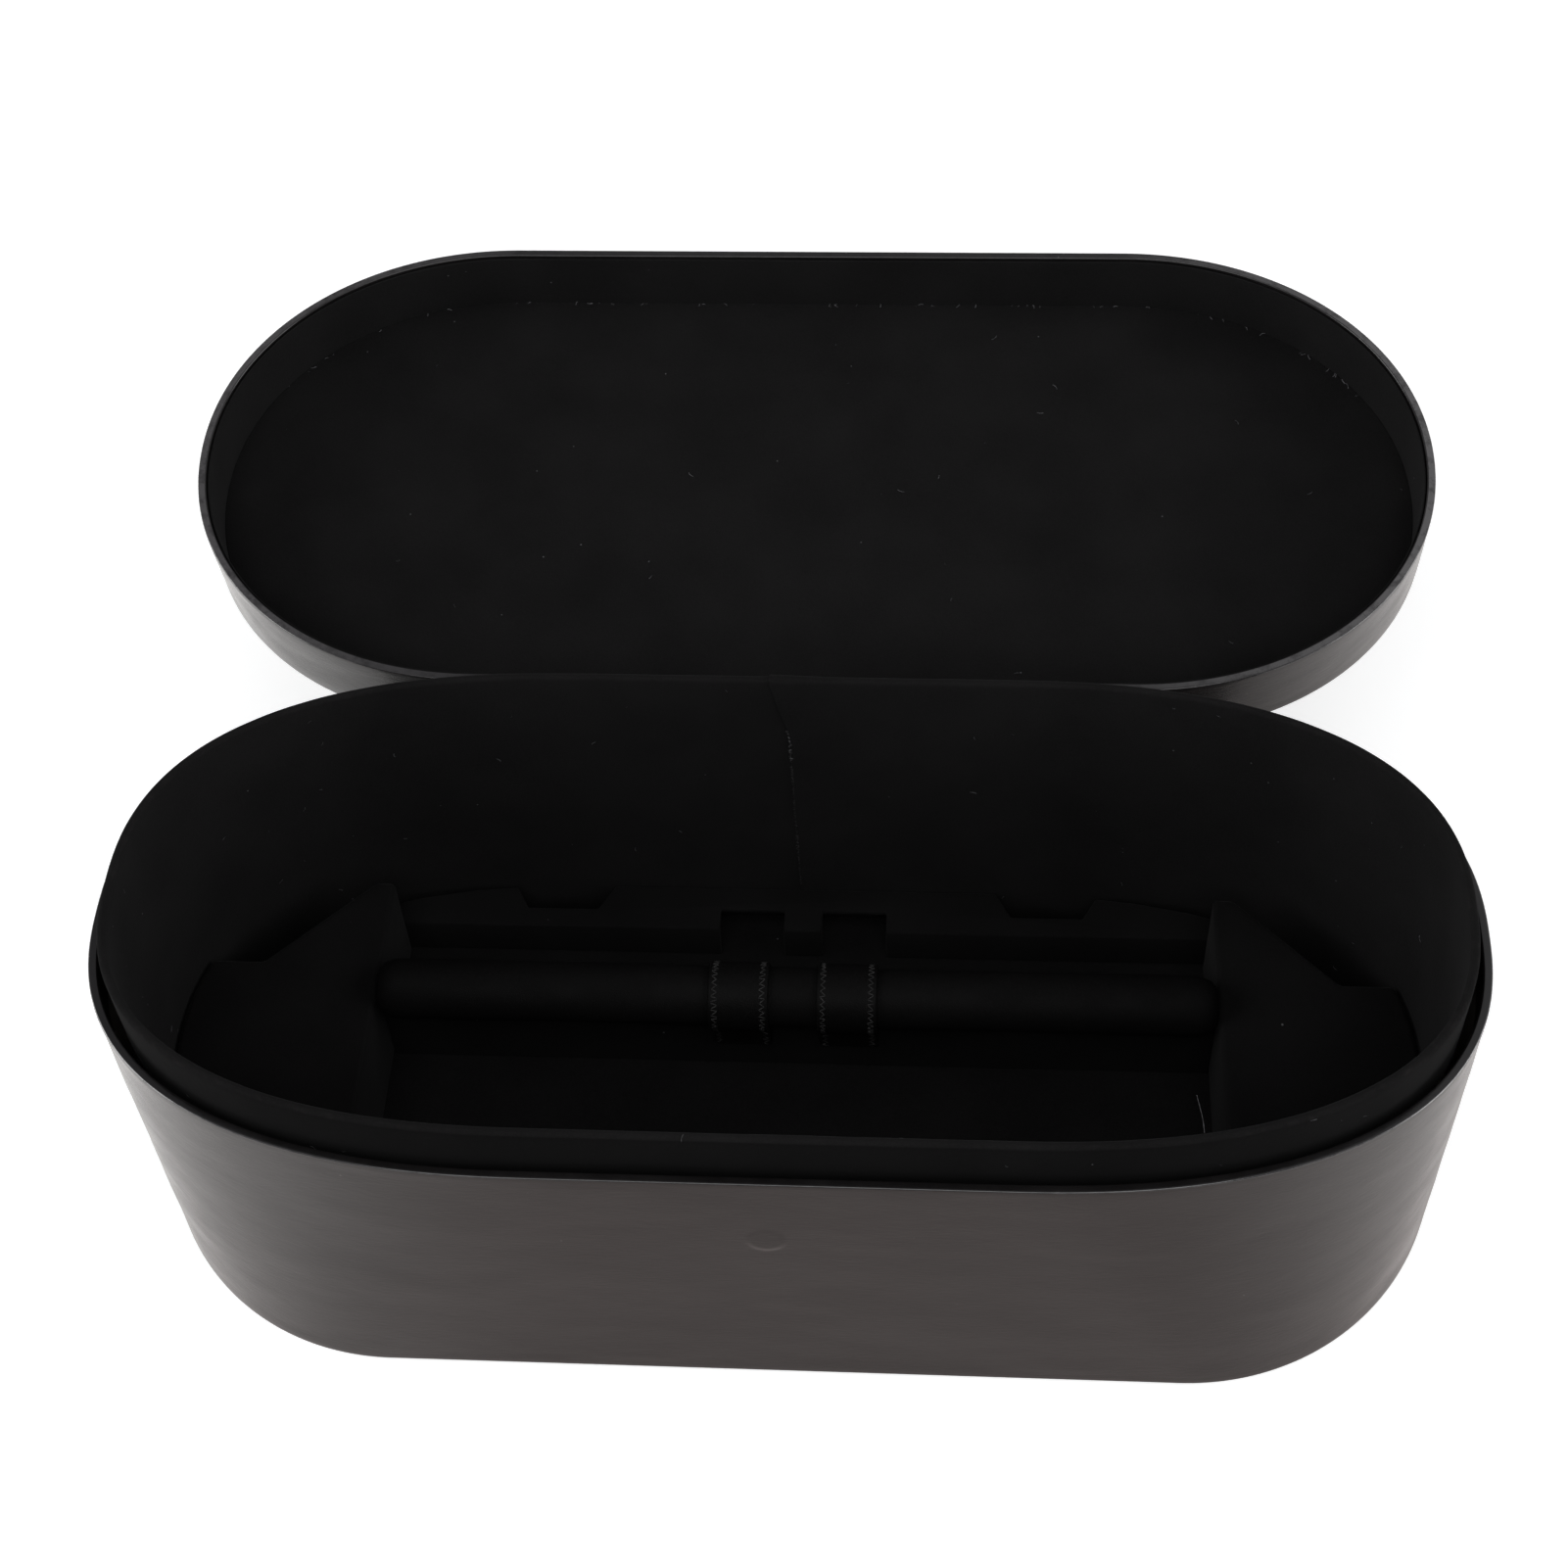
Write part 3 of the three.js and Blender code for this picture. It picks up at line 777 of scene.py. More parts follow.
def makeBodyCover():
    rim, wall, leather = boxShape["rimHeight"], boxShape["wall"], boxShape["leather"]
    foot, hem, turned = boxShape["sheetFace"], boxShape["panelHem"], rim - boxShape["hem"]
    rows = sectionRows(
        (0, foot, 0.0008, 0.0016),
        # the rim's outer fillet takes the pale edge colour: wear and a painted highlight line
        (0, rim, 0.00045, 0.0005, 0, 1.0),
        (wall, rim, 0.00045, 0.003),
        (wall, turned),
        (wall - leather, turned),
        (wall - leather, rim - leather, 0.0001),
        (leather, rim - leather, 0.0001),
        (leather, foot + leather, 0.0006),
        (hem, foot + leather),
        (hem, foot, 0, 0.004),
    )
    rows, columns = finerRows(letGive(rows, *bodyGive)), finerColumns(fineColumns)
    wrapShell("body_wall_cover", "base_wall_cover", "body", "leathercloth", rows, columns, **bodyCover)


makeBodyCover()
bottomRows = plateRows(**bottomPlate)
wrapShell("body_bottom_cover", "bottom_cover", "body", "leathercloth", bottomRows, plainColumns, False)
print("body covers made")

# Neck and floor linings

neckLining = {"Swell Depth": 0.00035, "Swell Size": 0.02, "Swell Seed": 8.0}
neckFeet = {"inside": 0.00335, "outside": 0.095}
floorPlate = {"inset": 0.00805, "low": 0.00335, "high": 0.00385, "rounding": 0.0002, "rings": 8}


def makeNeckLining():
    outer, inner, top, felt = (boxShape[key] for key in ("neckOuter", "neckInner", "neckTop", "felt"))
    foot, legFoot = neckFeet["inside"], neckFeet["outside"]
    rows = sectionRows(
        (outer, legFoot, 0, 0.002),
        (outer, top, 0.0012, 0, 0.4, 0.5),
        (inner, top, 0.0012, 0.003, 0.4, 0.25),
        (inner, foot),
        (inner - felt, foot),
        (inner - felt, top - felt, 0.0006),
        (outer + felt, top - felt, 0.0006),
        (outer + felt, legFoot),
    )
    lining = wrapShell("neck_felt", "neck_lining", "body", "felt", rows, **neckLining)
    # painted shade: the felt's outer face is darkened along the front and the back, fading out round the ends
    onFace = [abs(row[0] - outer) < 1e-6 for row in rows]
    straight = [1 - abs(math.cos(turn)) for turn, side in fineColumns]
    mark(lining.data, "lay", [here * share for here in onFace for share in straight])
    return lining


neckFelt = makeNeckLining()
wrapShell("floor_felt", "floor_lining", "body", "felt", plateRows(**floorPlate), plainColumns, False)
print("body linings made")

# Lid: cover, top sheet, lining and ceiling panel

lidCover = {"Swell Depth": 0.00035, "Swell Size": 0.035, "Swell Seed": 15.0}
lidGive = (0.1105, 0.130)
lidLining = {"Swell Depth": 0.00025, "Swell Size": 0.02, "Swell Seed": 21.0}
liningRing = {"outer": 0.00275, "inner": 0.00325, "foot": 0.1083, "top": 0.13065}
lidPanel = {"Swell Depth": 0.0003, "Swell Size": 0.05, "Swell Seed": 27.0}
panelPlate = {"inset": 0.00328, "low": 0.12945, "high": 0.13065, "rounding": 0.00025, "rings": 24, "give": 1.0}
topPlate = {"inset": 0.003, "low": 0.1336, "high": 0.134, "rounding": 0.00018, "rings": 10}


def makeLidCover():
    rim, wall, leather = boxShape["lidRim"], boxShape["wall"], boxShape["leather"]
    high, hem = boxShape["lidTop"] - boxShape["sheetFace"], boxShape["panelHem"]
    turned = rim + boxShape["hem"]
    rows = sectionRows(
        # the rim's outer fillet takes the pale edge colour: wear and a painted highlight line
        (0, rim, 0.00045, 0.0015, 0, 0.6),
        (0, high, 0.0010, 0.004),
        (hem, high),
        (hem, high - leather),
        (leather, high - leather, 0.0006),
        (leather, rim + leather, 0.0001),
        (wall - leather, rim + leather, 0.0001),
        (wall - leather, turned),
        (wall, turned, 0, 0.003),
        (wall, rim, 0.00045, 0.0005),
    )
    # the rim's flat takes the pale edge colour in full
    rows = [(*row[:4], 1.0) if abs(row[1] - rim) < 1e-6 else row for row in letGive(rows, *lidGive)]
    wrapShell("lid_skirt_cover", "lid_wall_cover", "lid", "leathercloth", rows, **lidCover)


def makeLidLining():
    outer, inner, foot, top = liningRing.values()
    rows = sectionRows(
        (outer, foot, 0.0002, 0.002),
        (outer, top),
        (inner, top, 0, 0.002),
        (inner, foot, 0.0002),
    )
    wrapShell("lid_wall_felt", "lid_wall_lining", "lid", "felt", rows, **lidLining)


makeLidCover()
wrapShell("lid_top_sheet", "lid_top_cover", "lid", "leathercloth", plateRows(**topPlate), plainColumns, False)
makeLidLining()
ceilingFelt = wrapShell(
    "lid_ceiling_felt", "lid_ceiling_panel", "lid", "felt", plateRows(**panelPlate), closed=False, **lidPanel
)
print("lid made")


# Bands that follow a path: hinge strip and straps

def makeBandTree():
    inputs = {"Width": 0.017, "Thickness": 0.001, "Edge Rounding": 0.0003}
    tree, given, made = makeTree("bandAlongPath", "Geometry", inputs, ["Geometry"])
    path = addShape(tree, "MeshToCurve", {"Mesh": given["Geometry"]})
    flat = {"Width": given["Width"], "Height": given["Thickness"]}
    flat = addShape(tree, "CurvePrimitiveQuadrilateral", flat)
    section = {"Curve": flat, "Radius": given["Edge Rounding"]}
    section = addNode(tree, "GeometryNodeFilletCurve", section, mode="POLY")
    plug(section.inputs["Count"], 4)
    finer = addShape(tree, "SubdivideCurve", {"Curve": section.outputs[0], "Cuts": 6})
    return finishTree(given, made, sweep(path, finer))


bandAlongPath = makeBandTree()


def makePath(name, points):
    return meshPiece(name, points, [(index, index + 1) for index in range(len(points) - 1)])


def makeBand(name, points, shape, finish):
    band = makePath(name, points)
    sizes = {"Width": shape["width"], "Thickness": shape["thickness"], "Edge Rounding": shape["rounding"]}
    growWith(band, bandAlongPath, {**sizes, "Finish": finish})
    turnOutwards(band)
    return band


hingeStrip = {
    "width": 0.170,
    "thickness": 0.0004,
    "leaf": 0.020,
    "rounding": 0.00015,
    "foldRadius": 0.0005,
    "steps": 12,
    "columns": 34,
    "bodySide": (0.0002, 0.0007),
    "clearance": 0.00005,
}


def splitAcross(piece, width, columns):
    with editing(piece.data) as work:
        for step in range(1, columns):
            parts = work.verts[:] + work.edges[:] + work.faces[:]
            place = (width * (step / columns - 0.5), 0, 0)
            bmesh.ops.bisect_plane(work, geom=parts, plane_co=place, plane_no=(1, 0, 0))


def makeHingeStrip():
    # down the body's back, over the fold and down the lid's back, which hangs open
    axis, fold, leaf, steps = hingePoint, hingeStrip["foldRadius"], hingeStrip["leaf"], hingeStrip["steps"]
    bodyFace = axis.y - fold
    points = [(0, bodyFace, axis.z - leaf * (1 - step / steps)) for step in range(steps)]
    leafTilt = math.pi - lidAngle
    for step in range(steps + 1):
        angle = math.pi - lidAngle * step / steps
        points.append((0, axis.y + fold * math.cos(angle), axis.z + fold * math.sin(angle)))
    last, down = Vector(points[-1]), Vector((0, math.sin(leafTilt), -math.cos(leafTilt)))
    points += [tuple(last + down * leaf * step / steps) for step in range(1, steps + 1)]
    strip = makeBand("hinge_strip", points, hingeStrip, leatherclothFinish)
    splitAcross(strip, hingeStrip["width"], hingeStrip["columns"])
    reach, power = boxShape["halfLength"] - boxShape["rimEnd"], boxShape["rimPower"]
    nearest, span = hingeStrip["bodySide"]
    for vertex in strip.data.vertices:
        # the body's back starts to curve inside the strip's width
        past = max(abs(vertex.co.x) - reach, 0) / boxShape["rimEnd"]
        curved = boxShape["halfDepth"] * (1 - (1 - past ** power) ** (1 / power))
        onBody = min(max((axis.y + nearest - vertex.co.y) / span, 0), 1)
        vertex.co.y -= curved * onBody * min(vertex.co.z / boxShape["rimHeight"], 1)
    smoothFaces(strip)
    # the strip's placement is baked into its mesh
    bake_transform(strip)
    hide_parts("hinge_leaf_base", "hinge_leaf_lid")


makeHingeStrip()
print("hinge strip made")

# Lap of the neck felt at the back, where its two ends meet: its edge as (level, x), from the top
liningLap = {
    "edge": [
        (0.1188, -0.0071),
        (0.108, -0.0049),
        (0.099, -0.0028),
        (0.094, -0.0021),
        (0.060, -0.0016),
        (0.023, -0.0011),
        (0.006, -0.0009),
    ],
    "width": 0.016,
    "thickness": 0.00055,
    "edgeShare": 0.55,
    "thinning": 0.8,
    "spread": 1.3,
    "raised": 0.00002,
    "sunk": 0.0001,
    "ripple": 0.00025,
    "turnDown": 0.010,
    "columns": 17,
}
lapFace = boxShape["halfDepth"] - boxShape["neckInner"]


def lapEdgeAt(z):
    edge = liningLap["edge"]
    z = min(max(z, edge[-1][0]), edge[0][0])
    for (high, highX), (low, lowX) in zip(edge, edge[1:]):
        if z >= low:
            return lowX + (highX - lowX) * (z - low) / (high - low)


def makeLiningLap():
    # up the inner face, over the neck's top and a little down its outer face
    outside = boxShape["halfDepth"] - boxShape["neckOuter"]
    middle, bend = (lapFace + outside) / 2, (outside - lapFace) / 2
    topZ, footZ = liningLap["edge"][0][0], liningLap["edge"][-1][0]
    path = [(lapFace, footZ + (topZ - footZ) * step / 40) for step in range(40)]
    turns = [math.pi * step / 12 for step in range(13)]
    path += [(middle - bend * math.cos(turn), topZ + bend * math.sin(turn)) for turn in turns]
    path += [(outside, topZ - liningLap["turnDown"] * step / 6) for step in range(1, 7)]
    rows, columns, ripple = len(path), liningLap["columns"], liningLap["ripple"]
    outer, inner = [], []
    for index, (y, z) in enumerate(path):
        before, after = path[max(index - 1, 0)], path[min(index + 1, rows - 1)]
        along = Vector((0, after[0] - before[0], after[1] - before[1])).normalized()
        away = Vector((0, -along.z, along.y))
        edgeX = lapEdgeAt(z) + ripple * 2 * noise.noise((z * 90, 1.7, 0.3))
        for column in range(columns):
            across = column / (columns - 1)
            thick = liningLap["thickness"] * (1 - across) ** liningLap["thinning"]
            if column == 0:
                thick *= liningLap["edgeShare"]
            waved = ripple * max(noise.noise((across * 3, z * 60, 4.1)), 0) * (1 - across)
            place = Vector((edgeX + liningLap["width"] * across ** liningLap["spread"], y, z))
            outer.append(place + away * (thick + liningLap["raised"] + waved))
            inner.append(place - away * liningLap["sunk"])
    faces, below = [], rows * columns
    for face in latticeFaces(rows, columns, around=False):
        faces += [face, tuple(below + face[turn] for turn in (0, 3, 2, 1))]
    rim = [*range(columns)] + [row * columns + columns - 1 for row in range(1, rows)]
    rim += [(rows - 1) * columns + column for column in reversed(range(columns - 1))]
    rim += [row * columns for row in reversed(range(1, rows - 1))]
    for first, second in zip(rim, rim[1:] + rim[:1]):
        faces.append((second, first, below + first, below + second))
    lap = meshPiece("neck_felt_lap", outer + inner, faces=faces)
    turnOutwards(lap)
    smoothFaces(lap, 50)
    finishPiece(lap, "body", "felt", material=liningFelt)


# Loose fibres on the felt, and slivers that carry them along an edge
lint = {
    "neck": {"Density": 900.0, "Fibre Length": 0.0016, "Fibre Thickness": 0.00009, "Seed": 4},
    "ceiling": {"Density": 420.0, "Fibre Length": 0.0018, "Fibre Thickness": 0.0001, "Seed": 9},
    "panelEdge": {"Density": 260000.0, "Fibre Length": 0.0015, "Fibre Thickness": 0.00017, "Seed": 12},
    "frayed": {"Density": 2400000.0, "Fibre Length": 0.0009, "Fibre Thickness": 0.00012, "Seed": 3},
    "cut": {"Density": 8000000.0, "Fibre Length": 0.0009, "Fibre Thickness": 0.00007, "Seed": 6},
}
panelSliver = {"width": 0.0008, "from": 0.205}
lapSliver = {
    "frayed": (0.084, 0.0985),
    "cut": (0.022, 0.0985),
    "ahead": 0.0003,
    "behind": 0.0002,
    "height": 0.7,
}
standingThread = {"Thickness": 0.00009, "Waver": 0.0001, "Seed": 5.0}
standingPath = [(0.1098, -0.0704, 0.1192), (0.1091, -0.0682, 0.1230), (0.1074, -0.0649, 0.1280)]


def makeLintTree():
    inputs = {"Density": 500.0, "Fibre Length": 0.002, "Fibre Thickness": 0.00005, "Seed": 1}
    tree, given, made = makeTree("lintFibres", "Geometry", inputs, ["Geometry"])
    seed = given["Seed"]
    shown = addShape(tree, "InputNamedAttribute", {"Name": "give"}, data_type="FLOAT")
    spots = {"Mesh": given["Geometry"], "Seed": seed, "Selection": calc("GREATER_THAN", shown, 0.05)}
    spots = addNode(tree, "GeometryNodeDistributePointsOnFaces", spots, distribute_method="RANDOM")
    plug(spots.inputs["Density"], given["Density"])
    bend = {"Resolution": 5, "Start": (-0.5, 0.0, 0.0), "Middle": (0.05, 0.28, 0.12), "End": (0.5, 0.05, 0.05)}
    radius = times(over(given["Fibre Thickness"], given["Fibre Length"]), 0.5)
    fibre = sweep(addShape(tree, "CurveQuadraticBezier", bend), circle(tree, 4, radius))
    facing = spun(spots.outputs["Rotation"], (0.0, 0.0, 1.0), drawn(tree, seed, 0.0, 6.283), "LOCAL")
    size = times(drawn(tree, plus(seed, 7), 0.25, 1.3), given["Fibre Length"])
    laid = {"Points": spots.outputs["Points"], "Instance": fibre, "Rotation": facing, "Scale": size}
    return finishTree(given, made, addShape(tree, "InstanceOnPoints", laid))


def makeThreadTree():
    inputs = {"Thickness": 0.0001, "Waver": 0.0003, "Seed": 1.0}
    tree, given, made = makeTree("looseThread", "Geometry", inputs, ["Geometry"])
    path = addShape(tree, "MeshToCurve", {"Mesh": given["Geometry"]})
    even = addShape(tree, "ResampleCurve", {"Curve": path, "Length": 0.0012}, mode="LENGTH")
    field = waving(addShape(tree, "InputPosition"), given["Seed"], 220.0)["Color"]
    waver = vectorCalc("MULTIPLY", vectorCalc("SUBTRACT", field, (0.5, 0.5, 0.5)), (1.0, 0.25, 1.0))
    moved = {"Geometry": even, "Offset": scaled(waver, times(given["Waver"], 2.0))}
    tube = sweep(addShape(tree, "SetPosition", moved), circle(tree, 6, times(given["Thickness"], 0.5)))
    return finishTree(given, made, tube)


lintFibres = makeLintTree()
looseThread = makeThreadTree()


def growLint(piece, body, tree, values, finish=lintThread):
    growWith(piece, tree, {**values, "Finish": finish})
    turnOutwards(piece)
    finishPiece(piece, body, "felt")


def lintAlong(name, body, points, faces, values, finish=lintThread):
    sliver = meshPiece(name, points, faces=faces)
    if sliver.data.polygons[0].normal.z < 0:
        sliver.data.flip_normals()
    mark(sliver.data, "give", [1.0] * len(points))
    growLint(sliver, body, lintFibres, values, finish)


def lintOnPanelEdge():
    # beside the rounded edge of the ceiling panel, along its far side
    width = len(fineColumns)
    first = panelPlate["rings"] * width
    ring = [vertex.co for vertex in ceilingFelt.data.vertices[first:first + width]]
    centre = sum(ring, Vector()) / width
    points = []
    for place in ring:
        points += [place, place + (centre - place).normalized() * panelSliver["width"]]
    faces = []
    for column in range(width):
        after = (column + 1) % width
        if min(ring[column].y, ring[after].y) > panelSliver["from"]:
            faces.append((2 * column, 2 * column + 1, 2 * after + 1, 2 * after))
    lintAlong("panel_edge_lint", "lid", points, faces, lint["panelEdge"])


def lintOnLap(name, kind, finish, steps=24):
    (low, high), ahead, behind = lapSliver[kind], lapSliver["ahead"], lapSliver["behind"]
    face = lapFace - liningLap["thickness"] * lapSliver["height"]
    points = []
    for step in range(steps + 1):
        z = low + (high - low) * step / steps
        points += [(lapEdgeAt(z) - ahead, face, z), (lapEdgeAt(z) + behind, face, z)]
    faces = [(first, first + 1, first + 3, first + 2) for first in range(0, 2 * steps, 2)]
    lintAlong(name, "body", points, faces, lint[kind], finish)


makeLiningLap()
growLint(newPiece("neck_lint", neckFelt.data.copy()), "body", lintFibres, lint["neck"])
growLint(newPiece("ceiling_lint", ceilingFelt.data.copy()), "lid", lintFibres, lint["ceiling"])
lintOnPanelEdge()
lintOnLap("lap_frayed_edge", "frayed", lintThread)
lintOnLap("lap_cut_edge", "cut", feltFuzz)
growLint(makePath("standing_thread", standingPath), "body", looseThread, standingThread)
print("lap, threads and lint made")

# Insert: felt over board and foam, with the rounding of each piece's edges
insertPieces = {
    "insert_floor": ("insert_floor_felt", 0.0004, insertFloorFelt),
    "end_block_left": ("end_block_left_felt", 0.0016, insertFelt),
    "end_block_right": ("end_block_right_felt", 0.0016, insertFelt),
    "back_ledge": ("back_ledge_felt", 0.0007, insertFelt),
    "divider_board": ("divider_felt", 0.0004, insertFelt),
}


def softenedCopy(node, name, rounding):
    mesh = frame["nodes"][node].data.copy()
    with editing(mesh) as work:
        bmesh.ops.remove_doubles(work, verts=work.verts, dist=1e-6)
        bmesh.ops.dissolve_limit(work, angle_limit=math.radians(1), verts=work.verts, edges=work.edges)
    piece = newPiece(name, mesh)
    bevel = piece.modifiers.new("softEdges", "BEVEL")
    bevel.width, bevel.segments = rounding, 3
    bevel.limit_method, bevel.angle_limit = "ANGLE", math.radians(35)
    settle(piece)
    smoothFaces(piece, 50)
    return piece


for node, (name, rounding, felt) in insertPieces.items():
    finishPiece(softenedCopy(node, name, rounding), "insert", "felt_board", node, material=felt)
print("insert felt made")

# Padded roll

roll = {
    "radius": 0.0093,
    "halfLength": 0.12475,
    "axisY": 0.019,
    "axisZ": 0.0404,
    "endRound": 0.005,
    "sides": 56,
    "steps": 150,
    "strapSpacing": 0.032,
    "strapWidth": 0.0175,
    "squeeze": 0.0005,
    "slack": 0.00012,
    "easing": 0.006,
    "heldBeside": 0.0004,
    "heldEnd": 0.0022,
    "heldBelow": 0.86,
    "mostSwell": 0.0009,
    "unevenness": 0.00012,
    "lumps": 70,
    "evenEnd": 0.004,
    "pressure": 4000.0,
    "clothMass": 0.02,
    "stretch": 1.2,
    "bend": 0.2,
    "frames": 20,
}


def pastStrap(x):
    return abs(abs(x) - roll["strapSpacing"] / 2) - roll["strapWidth"] / 2


def rollRadiusAt(x):
    eased = min(max(pastStrap(x) / roll["easing"], 0), 1)
    eased = eased * eased * (3 - 2 * eased)
    full = roll["radius"] - roll["squeeze"] - roll["slack"] * eased
    intoEnd = min(max(abs(x) - (roll["halfLength"] - roll["endRound"]), 0) / roll["endRound"], 1)
    return full - roll["endRound"] * (1 - math.sqrt(max(1 - intoEnd * intoEnd, 0)))


def rollForm(name):
    half, sides, steps = roll["halfLength"], roll["sides"], roll["steps"]
    places = [half * (2 * step / steps - 1) for step in range(1, steps)]
    places += [half - 0.00002, -half + 0.00002]
    extra = [half - roll["endRound"] * (1 - math.cos(math.pi / 2 * share)) for share in (0.15, 0.35, 0.6)]
    places = sorted({*places, *extra, *(-entry for entry in extra)})
    points = []
    for x in places:
        for side in range(sides):
            angle = 2 * math.pi * side / sides
            lumps = noise.noise((x * roll["lumps"], math.sin(angle) * 0.9, math.cos(angle) * 0.9 + 5))
            fade = min((half - abs(x)) / roll["evenEnd"], 1)
            radius = rollRadiusAt(x) - roll["unevenness"] * (1 + lumps) * fade
            y, z = roll["axisY"] + radius * math.sin(angle), roll["axisZ"] - radius * math.cos(angle)
            points.append((x, y, z))
    caps = [tuple(reversed(range(sides))), tuple(range(len(points) - sides, len(points)))]
    piece = meshPiece(name, points, faces=latticeFaces(len(places), sides) + caps)
    turnOutwards(piece)
    return piece


def swellRoll(piece):
    # the stuffing pushes the leather out between the straps, which hold it in
    held = piece.vertex_groups.new(name="held")
    rest = [vertex.co.copy() for vertex in piece.data.vertices]
    for index, place in enumerate(rest):
        underStrap = pastStrap(place.x) < roll["heldBeside"]
        atEnd = abs(place.x) > roll["halfLength"] - roll["heldEnd"]
        onBoard = place.z < roll["axisZ"] - roll["radius"] * roll["heldBelow"]
        held.add([index], float(underStrap or atEnd or onBoard), "REPLACE")
    cloth = piece.modifiers.new("stuffing", "CLOTH")
    settings = cloth.settings
    settings.quality = 8
    settings.mass = roll["clothMass"]
    settings.tension_stiffness = settings.compression_stiffness = roll["stretch"]
    settings.shear_stiffness = roll["stretch"] / 2
    settings.bending_stiffness = roll["bend"]
    settings.use_pressure = True
    settings.uniform_pressure_force = roll["pressure"]
    settings.vertex_group_mass = "held"
    settings.effector_weights.gravity = 0
    cloth.collision_settings.use_self_collision = False
    cloth.collision_settings.use_collision = False
    cloth.point_cache.frame_start, cloth.point_cache.frame_end = 1, roll["frames"]
    for number in range(1, roll["frames"] + 1):
        scene.frame_set(number)
    graph = bpy.context.evaluated_depsgraph_get()
    swollen = [vertex.co.copy() for vertex in piece.evaluated_get(graph).data.vertices]
    piece.modifiers.remove(cloth)
    scene.frame_set(1)
    shifts = [end - start for start, end in zip(rest, swollen)]
    for vertex, start, shift in zip(piece.data.vertices, rest, shifts):
        vertex.co = start + shift * min(roll["mostSwell"] / max(shift.length, 1e-9), 1)
    most = max(shift.length for shift in shifts)
    print("roll swelled by up to", round(most * 1000, 2), "mm before its limit")


def makeRoll():
    piece = rollForm("divider_roll_pad")
    swellRoll(piece)
    finer = piece.modifiers.new("finer", "SUBSURF")
    finer.levels = finer.render_levels = 1
    settle(piece)
    smoothFaces(piece, 60)
    finishPiece(piece, "insert", "roll_leather", "divider_roll", material=rollLeather)


makeRoll()

# Straps and their stitches

strapBand = {
    "width": 0.0175,
    "thickness": 0.0012,
    "rounding": 0.0004,
    "leg": 0.012,
    "innerRadius": 0.00905,
    "boardGap": 0.00175,
    "seamInset": 0.0017,
}
strapStitch = {"Pitch": 0.001, "Stitch Length": 0.0021, "Thread": 0.00034, "Slant": 1.1, "Unevenness": 0.35}


def strapPath(centre, lift):
    # tail up the divider's face, round the roll, and down the other face
    radius = strapBand["innerRadius"] + strapBand["thickness"] / 2 + lift
    leg = strapBand["boardGap"] + strapBand["thickness"] / 2 + lift
    foot = roll["axisZ"] - roll["radius"] - strapBand["leg"] + 0.0001
    start = math.asin(leg / radius)
    y, z = roll["axisY"], roll["axisZ"]
    top = z - radius * math.cos(start)
    points = [(centre, y + leg, foot + (top - foot) * step / 6) for step in range(6)]
    for step in range(65):
        turn = start + 2 * (math.pi - start) * step / 64
        points.append((centre, y + radius * math.sin(turn), z - radius * math.cos(turn)))
    return points + [(centre, y - leg, top + (foot - top) * step / 6) for step in range(1, 7)]


def makeStitchTree():
    inputs = {"Pitch": 0.0025, "Stitch Length": 0.0017, "Thread": 0.0004}
    inputs.update({"Slant": 1.1, "Unevenness": 0.15, "Seed": 1})
    tree, given, made = makeTree("stitchRow", "Geometry", inputs, ["Geometry"])
    thread, uneven = given["Thread"], given["Unevenness"]
    path = addShape(tree, "MeshToCurve", {"Mesh": given["Geometry"]})
    spots = {"Curve": path, "Length": given["Pitch"]}
    spots = addNode(tree, "GeometryNodeCurveToPoints", spots, mode="LENGTH").outputs
    bead = addShape(tree, "MeshUVSphere", {"Segments": 8, "Rings": 6, "Radius": 0.5})
    size = {"X": thread, "Y": thread, "Z": given["Stitch Length"]}
    size = addNode(tree, "ShaderNodeCombineXYZ", size).outputs[0]
    shift = drawn(tree, given["Seed"], times(uneven, -1.0), uneven)
    # stitches slant to the left and to the right in turn
    order = addShape(tree, "InputIndex")
    side = minus(times(calc("MODULO", order, 2.0), 2.0), 1.0)
    slant = plus(times(side, given["Slant"]), shift)
    outward = vectorCalc("CROSS_PRODUCT", spots["Tangent"], spots["Normal"])
    facing = spun(spots["Rotation"], outward, slant, "GLOBAL")
    sewn = {"Points": spots[0], "Instance": bead, "Rotation": facing, "Scale": size}
    return finishTree(given, made, addShape(tree, "InstanceOnPoints", sewn))


stitchRow = makeStitchTree()


def makeStrap(side, centre, seed):
    name = f"strap_{side}_band"
    strap = makeBand(name, strapPath(centre, 0), strapBand, strapLeather)
    smoothFaces(strap)
    finishPiece(strap, "insert", "roll_leather", "strap_" + side)
    lift = strapBand["thickness"] / 2 - strapStitch["Thread"] * 0.1
    for number, way in enumerate((-1, 1)):
        edge = centre + way * (strapBand["width"] / 2 - strapBand["seamInset"])
        row = makePath(f"{name}_stitches_{number + 1}", strapPath(edge, lift))
        growWith(row, stitchRow, {**strapStitch, "Seed": seed + number, "Finish": strapThread})
        for face in row.data.polygons:
            face.use_smooth = True
        finishPiece(row, "insert", "roll_leather")


makeStrap("left", -roll["strapSpacing"] / 2, 5)
makeStrap("right", roll["strapSpacing"] / 2, 11)
print("roll and straps made")

# Boards keep their frame shape

for node in ("bottom_board", "base_wall_board", "neck_board", "lid_top_board", "lid_wall_board"):
    materials = frame["nodes"][node].data.materials
    materials.clear()
    materials.append(greyboard)

# Floor, light and camera

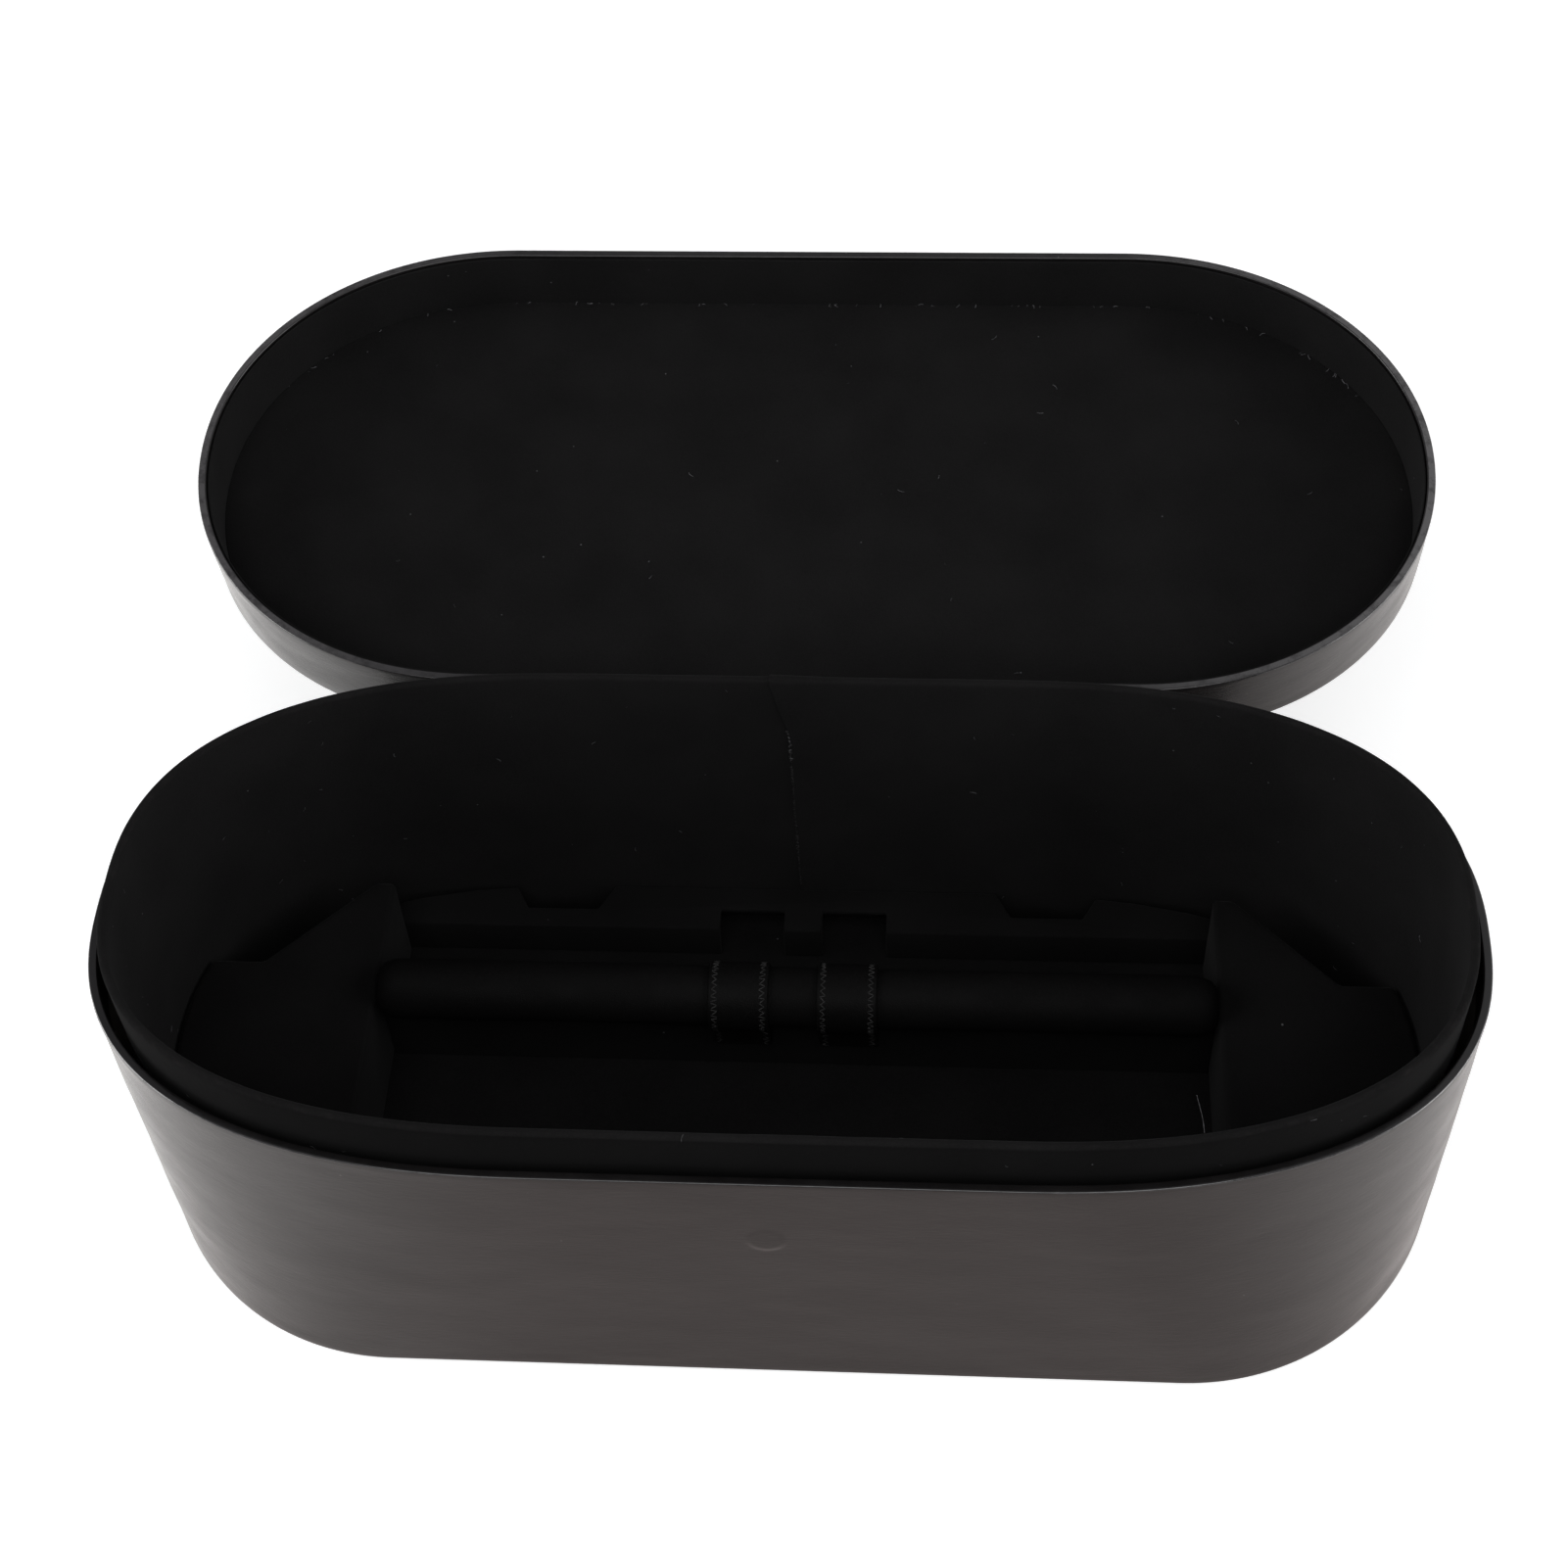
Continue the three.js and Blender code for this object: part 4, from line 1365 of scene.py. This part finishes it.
studio = {
    "floorReach": 8,
    "floorLevel": -0.0002,
    "floorColor": (0.86, 0.86, 0.86, 1),
    "floorGlow": (0.46, 1.05),
    "glowReach": (0.4, 3.0),
    "floorInGloss": (0.697, 0.6125, 0.591, 1),
    "floorInBounce": (0.25, 0.25, 0.25, 1),
    "besideInGloss": (0.08, 0.30, 0.0, 0.74),
    "besideMiddle": 0.025,
    "behindFrom": 0.05,
    "behindLeft": (0.05, 0.15, 0.0, 0.8),
    "glossTint": (0.95, 1.0, 1.0, 1),
    "skyRise": (0.05, 0.6),
    "skyHorizon": 0.95,
    "aheadInGloss": 0.22,
    "asideInGloss": (0.35, 0.85),
    "skyTop": 0.06,
    "skyTopInGloss": 0.34,
    "skyTint": (0.95, 0.95, 1.0, 1),
    "lampTarget": (0, 0.05, 0.06),
    "lamps": {
        "frontLamp": {"place": (0.0, -1.1, 1.65), "size": 1.5, "power": 18.0, "gloss": 0.3},
        "leftLamp": {"place": (-1.9, -0.2, 0.8), "size": 1.4, "power": 28.0, "gloss": 1.0},
        "rightLamp": {"place": (1.9, -0.2, 0.8), "size": 1.4, "power": 26.0, "gloss": 1.0},
        "backLamp": {"place": (0.8, 1.0, 1.85), "size": 1.2, "power": 1.5, "gloss": 1.0},
    },
}

cameraView = {
    "location": (0.04443, -0.40623, 0.68519),
    "right": (0.997856, 0.053032, -0.03835),
    "up": (-0.01803, 0.786068, 0.617877),
    "back": (0.062913, -0.61586, 0.785339),
    "lens": 59.6413,
    "sensor": 36,
    "clip": (0.01, 50),
}
white = (1, 1, 1, 1)


def makeFloor():
    far = studio["floorReach"]
    corners = [(-far, -far, 0), (far, -far, 0), (far, far, 0), (-far, far, 0)]
    floor = meshPiece("studio_floor", corners, faces=[(0, 1, 2, 3)])
    floor.location.z = studio["floorLevel"]
    # what the walls mirror is the floor close by, brighter beside the box than in front of it
    material, tree, shader, place = newFinish("paleFloor", **{"Roughness": 0.9, "Specular IOR Level": 0.1})
    path = tree.nodes.new("ShaderNodeLightPath").outputs
    mirrored = calc("MAXIMUM", path["Is Glossy Ray"], path["Is Transmission Ray"])
    lying = blended(path["Is Diffuse Ray"], studio["floorColor"], studio["floorInBounce"])
    plug(shader["Base Color"], blended(mirrored, lying, studio["floorInGloss"]))
    plug(shader["Emission Color"], blended(mirrored, white, studio["glossTint"]))
    x, y, z = partsOf(place)
    behind = calc("MAXIMUM", plus(y, -studio["behindFrom"]), 0.0)
    behindLeft = times(behind, ramp(times(x, -1.0), *studio["behindLeft"]))
    across = plus(calc("ABSOLUTE", plus(x, -studio["besideMiddle"])), behindLeft)
    beside = times(mirrored, ramp(across, *studio["besideInGloss"]))
    glow = ramp(vectorCalc("LENGTH", place), *studio["glowReach"], *studio["floorGlow"])
    plug(shader["Emission Strength"], calc("MAXIMUM", times(path["Is Camera Ray"], glow), beside))
    floor.data.materials.append(material)


def makeSky():
    world = bpy.data.worlds.new("studioSky")
    scene.world = world
    world.use_nodes = True
    tree = world.node_tree
    tree.nodes.clear()
    x, y, z = partsOf(tree.nodes.new("ShaderNodeTexCoord").outputs["Generated"])
    path = tree.nodes.new("ShaderNodeLightPath").outputs
    mirrored, horizon, rise = path["Is Glossy Ray"], studio["skyHorizon"], studio["skyRise"]
    # mirrored rays see a darker sky ahead and behind than to the sides
    aside = ramp(calc("ABSOLUTE", x), *studio["asideInGloss"], studio["aheadInGloss"], horizon)
    low = blended(mirrored, horizon, aside, "FLOAT")
    top = blended(mirrored, studio["skyTop"], studio["skyTopInGloss"], "FLOAT")
    tint = blended(ramp(z, *rise), white, studio["skyTint"])
    lit = addNode(tree, "ShaderNodeBackground", {"Color": tint, "Strength": ramp(z, *rise, low, top)})
    seen = addNode(tree, "ShaderNodeBackground", {"Color": white, "Strength": 1.0})
    straight = calc("MAXIMUM", path["Is Camera Ray"], path["Is Transmission Ray"])
    mixed = addNode(tree, "ShaderNodeMixShader", {0: straight, 1: lit.outputs[0], 2: seen.outputs[0]})
    addNode(tree, "ShaderNodeOutputWorld", {"Surface": mixed.outputs[0]})


def makeLamps():
    for name, values in studio["lamps"].items():
        data = bpy.data.lights.new(name, "AREA")
        data.shape = "SQUARE"
        data.size = values["size"]
        data.energy = values["power"]
        data.specular_factor = values["gloss"]
        lamp = newPiece(name, data)
        lamp.location = values["place"]
        aim = Vector(studio["lampTarget"]) - Vector(values["place"])
        lamp.rotation_euler = aim.to_track_quat("-Z", "Y").to_euler()


def makeCamera():
    data = bpy.data.cameras.new("photoCamera")
    data.lens = cameraView["lens"]
    data.sensor_width = cameraView["sensor"]
    data.clip_start, data.clip_end = cameraView["clip"]
    camera = newPiece("photoCamera", data)
    turn = Matrix((cameraView["right"], cameraView["up"], cameraView["back"])).transposed()
    camera.matrix_world = Matrix.Translation(cameraView["location"]) @ turn.to_4x4()
    scene.camera = camera


makeFloor()
makeSky()
makeLamps()
makeCamera()
scene.view_settings.view_transform = "Standard"
print("stage made")
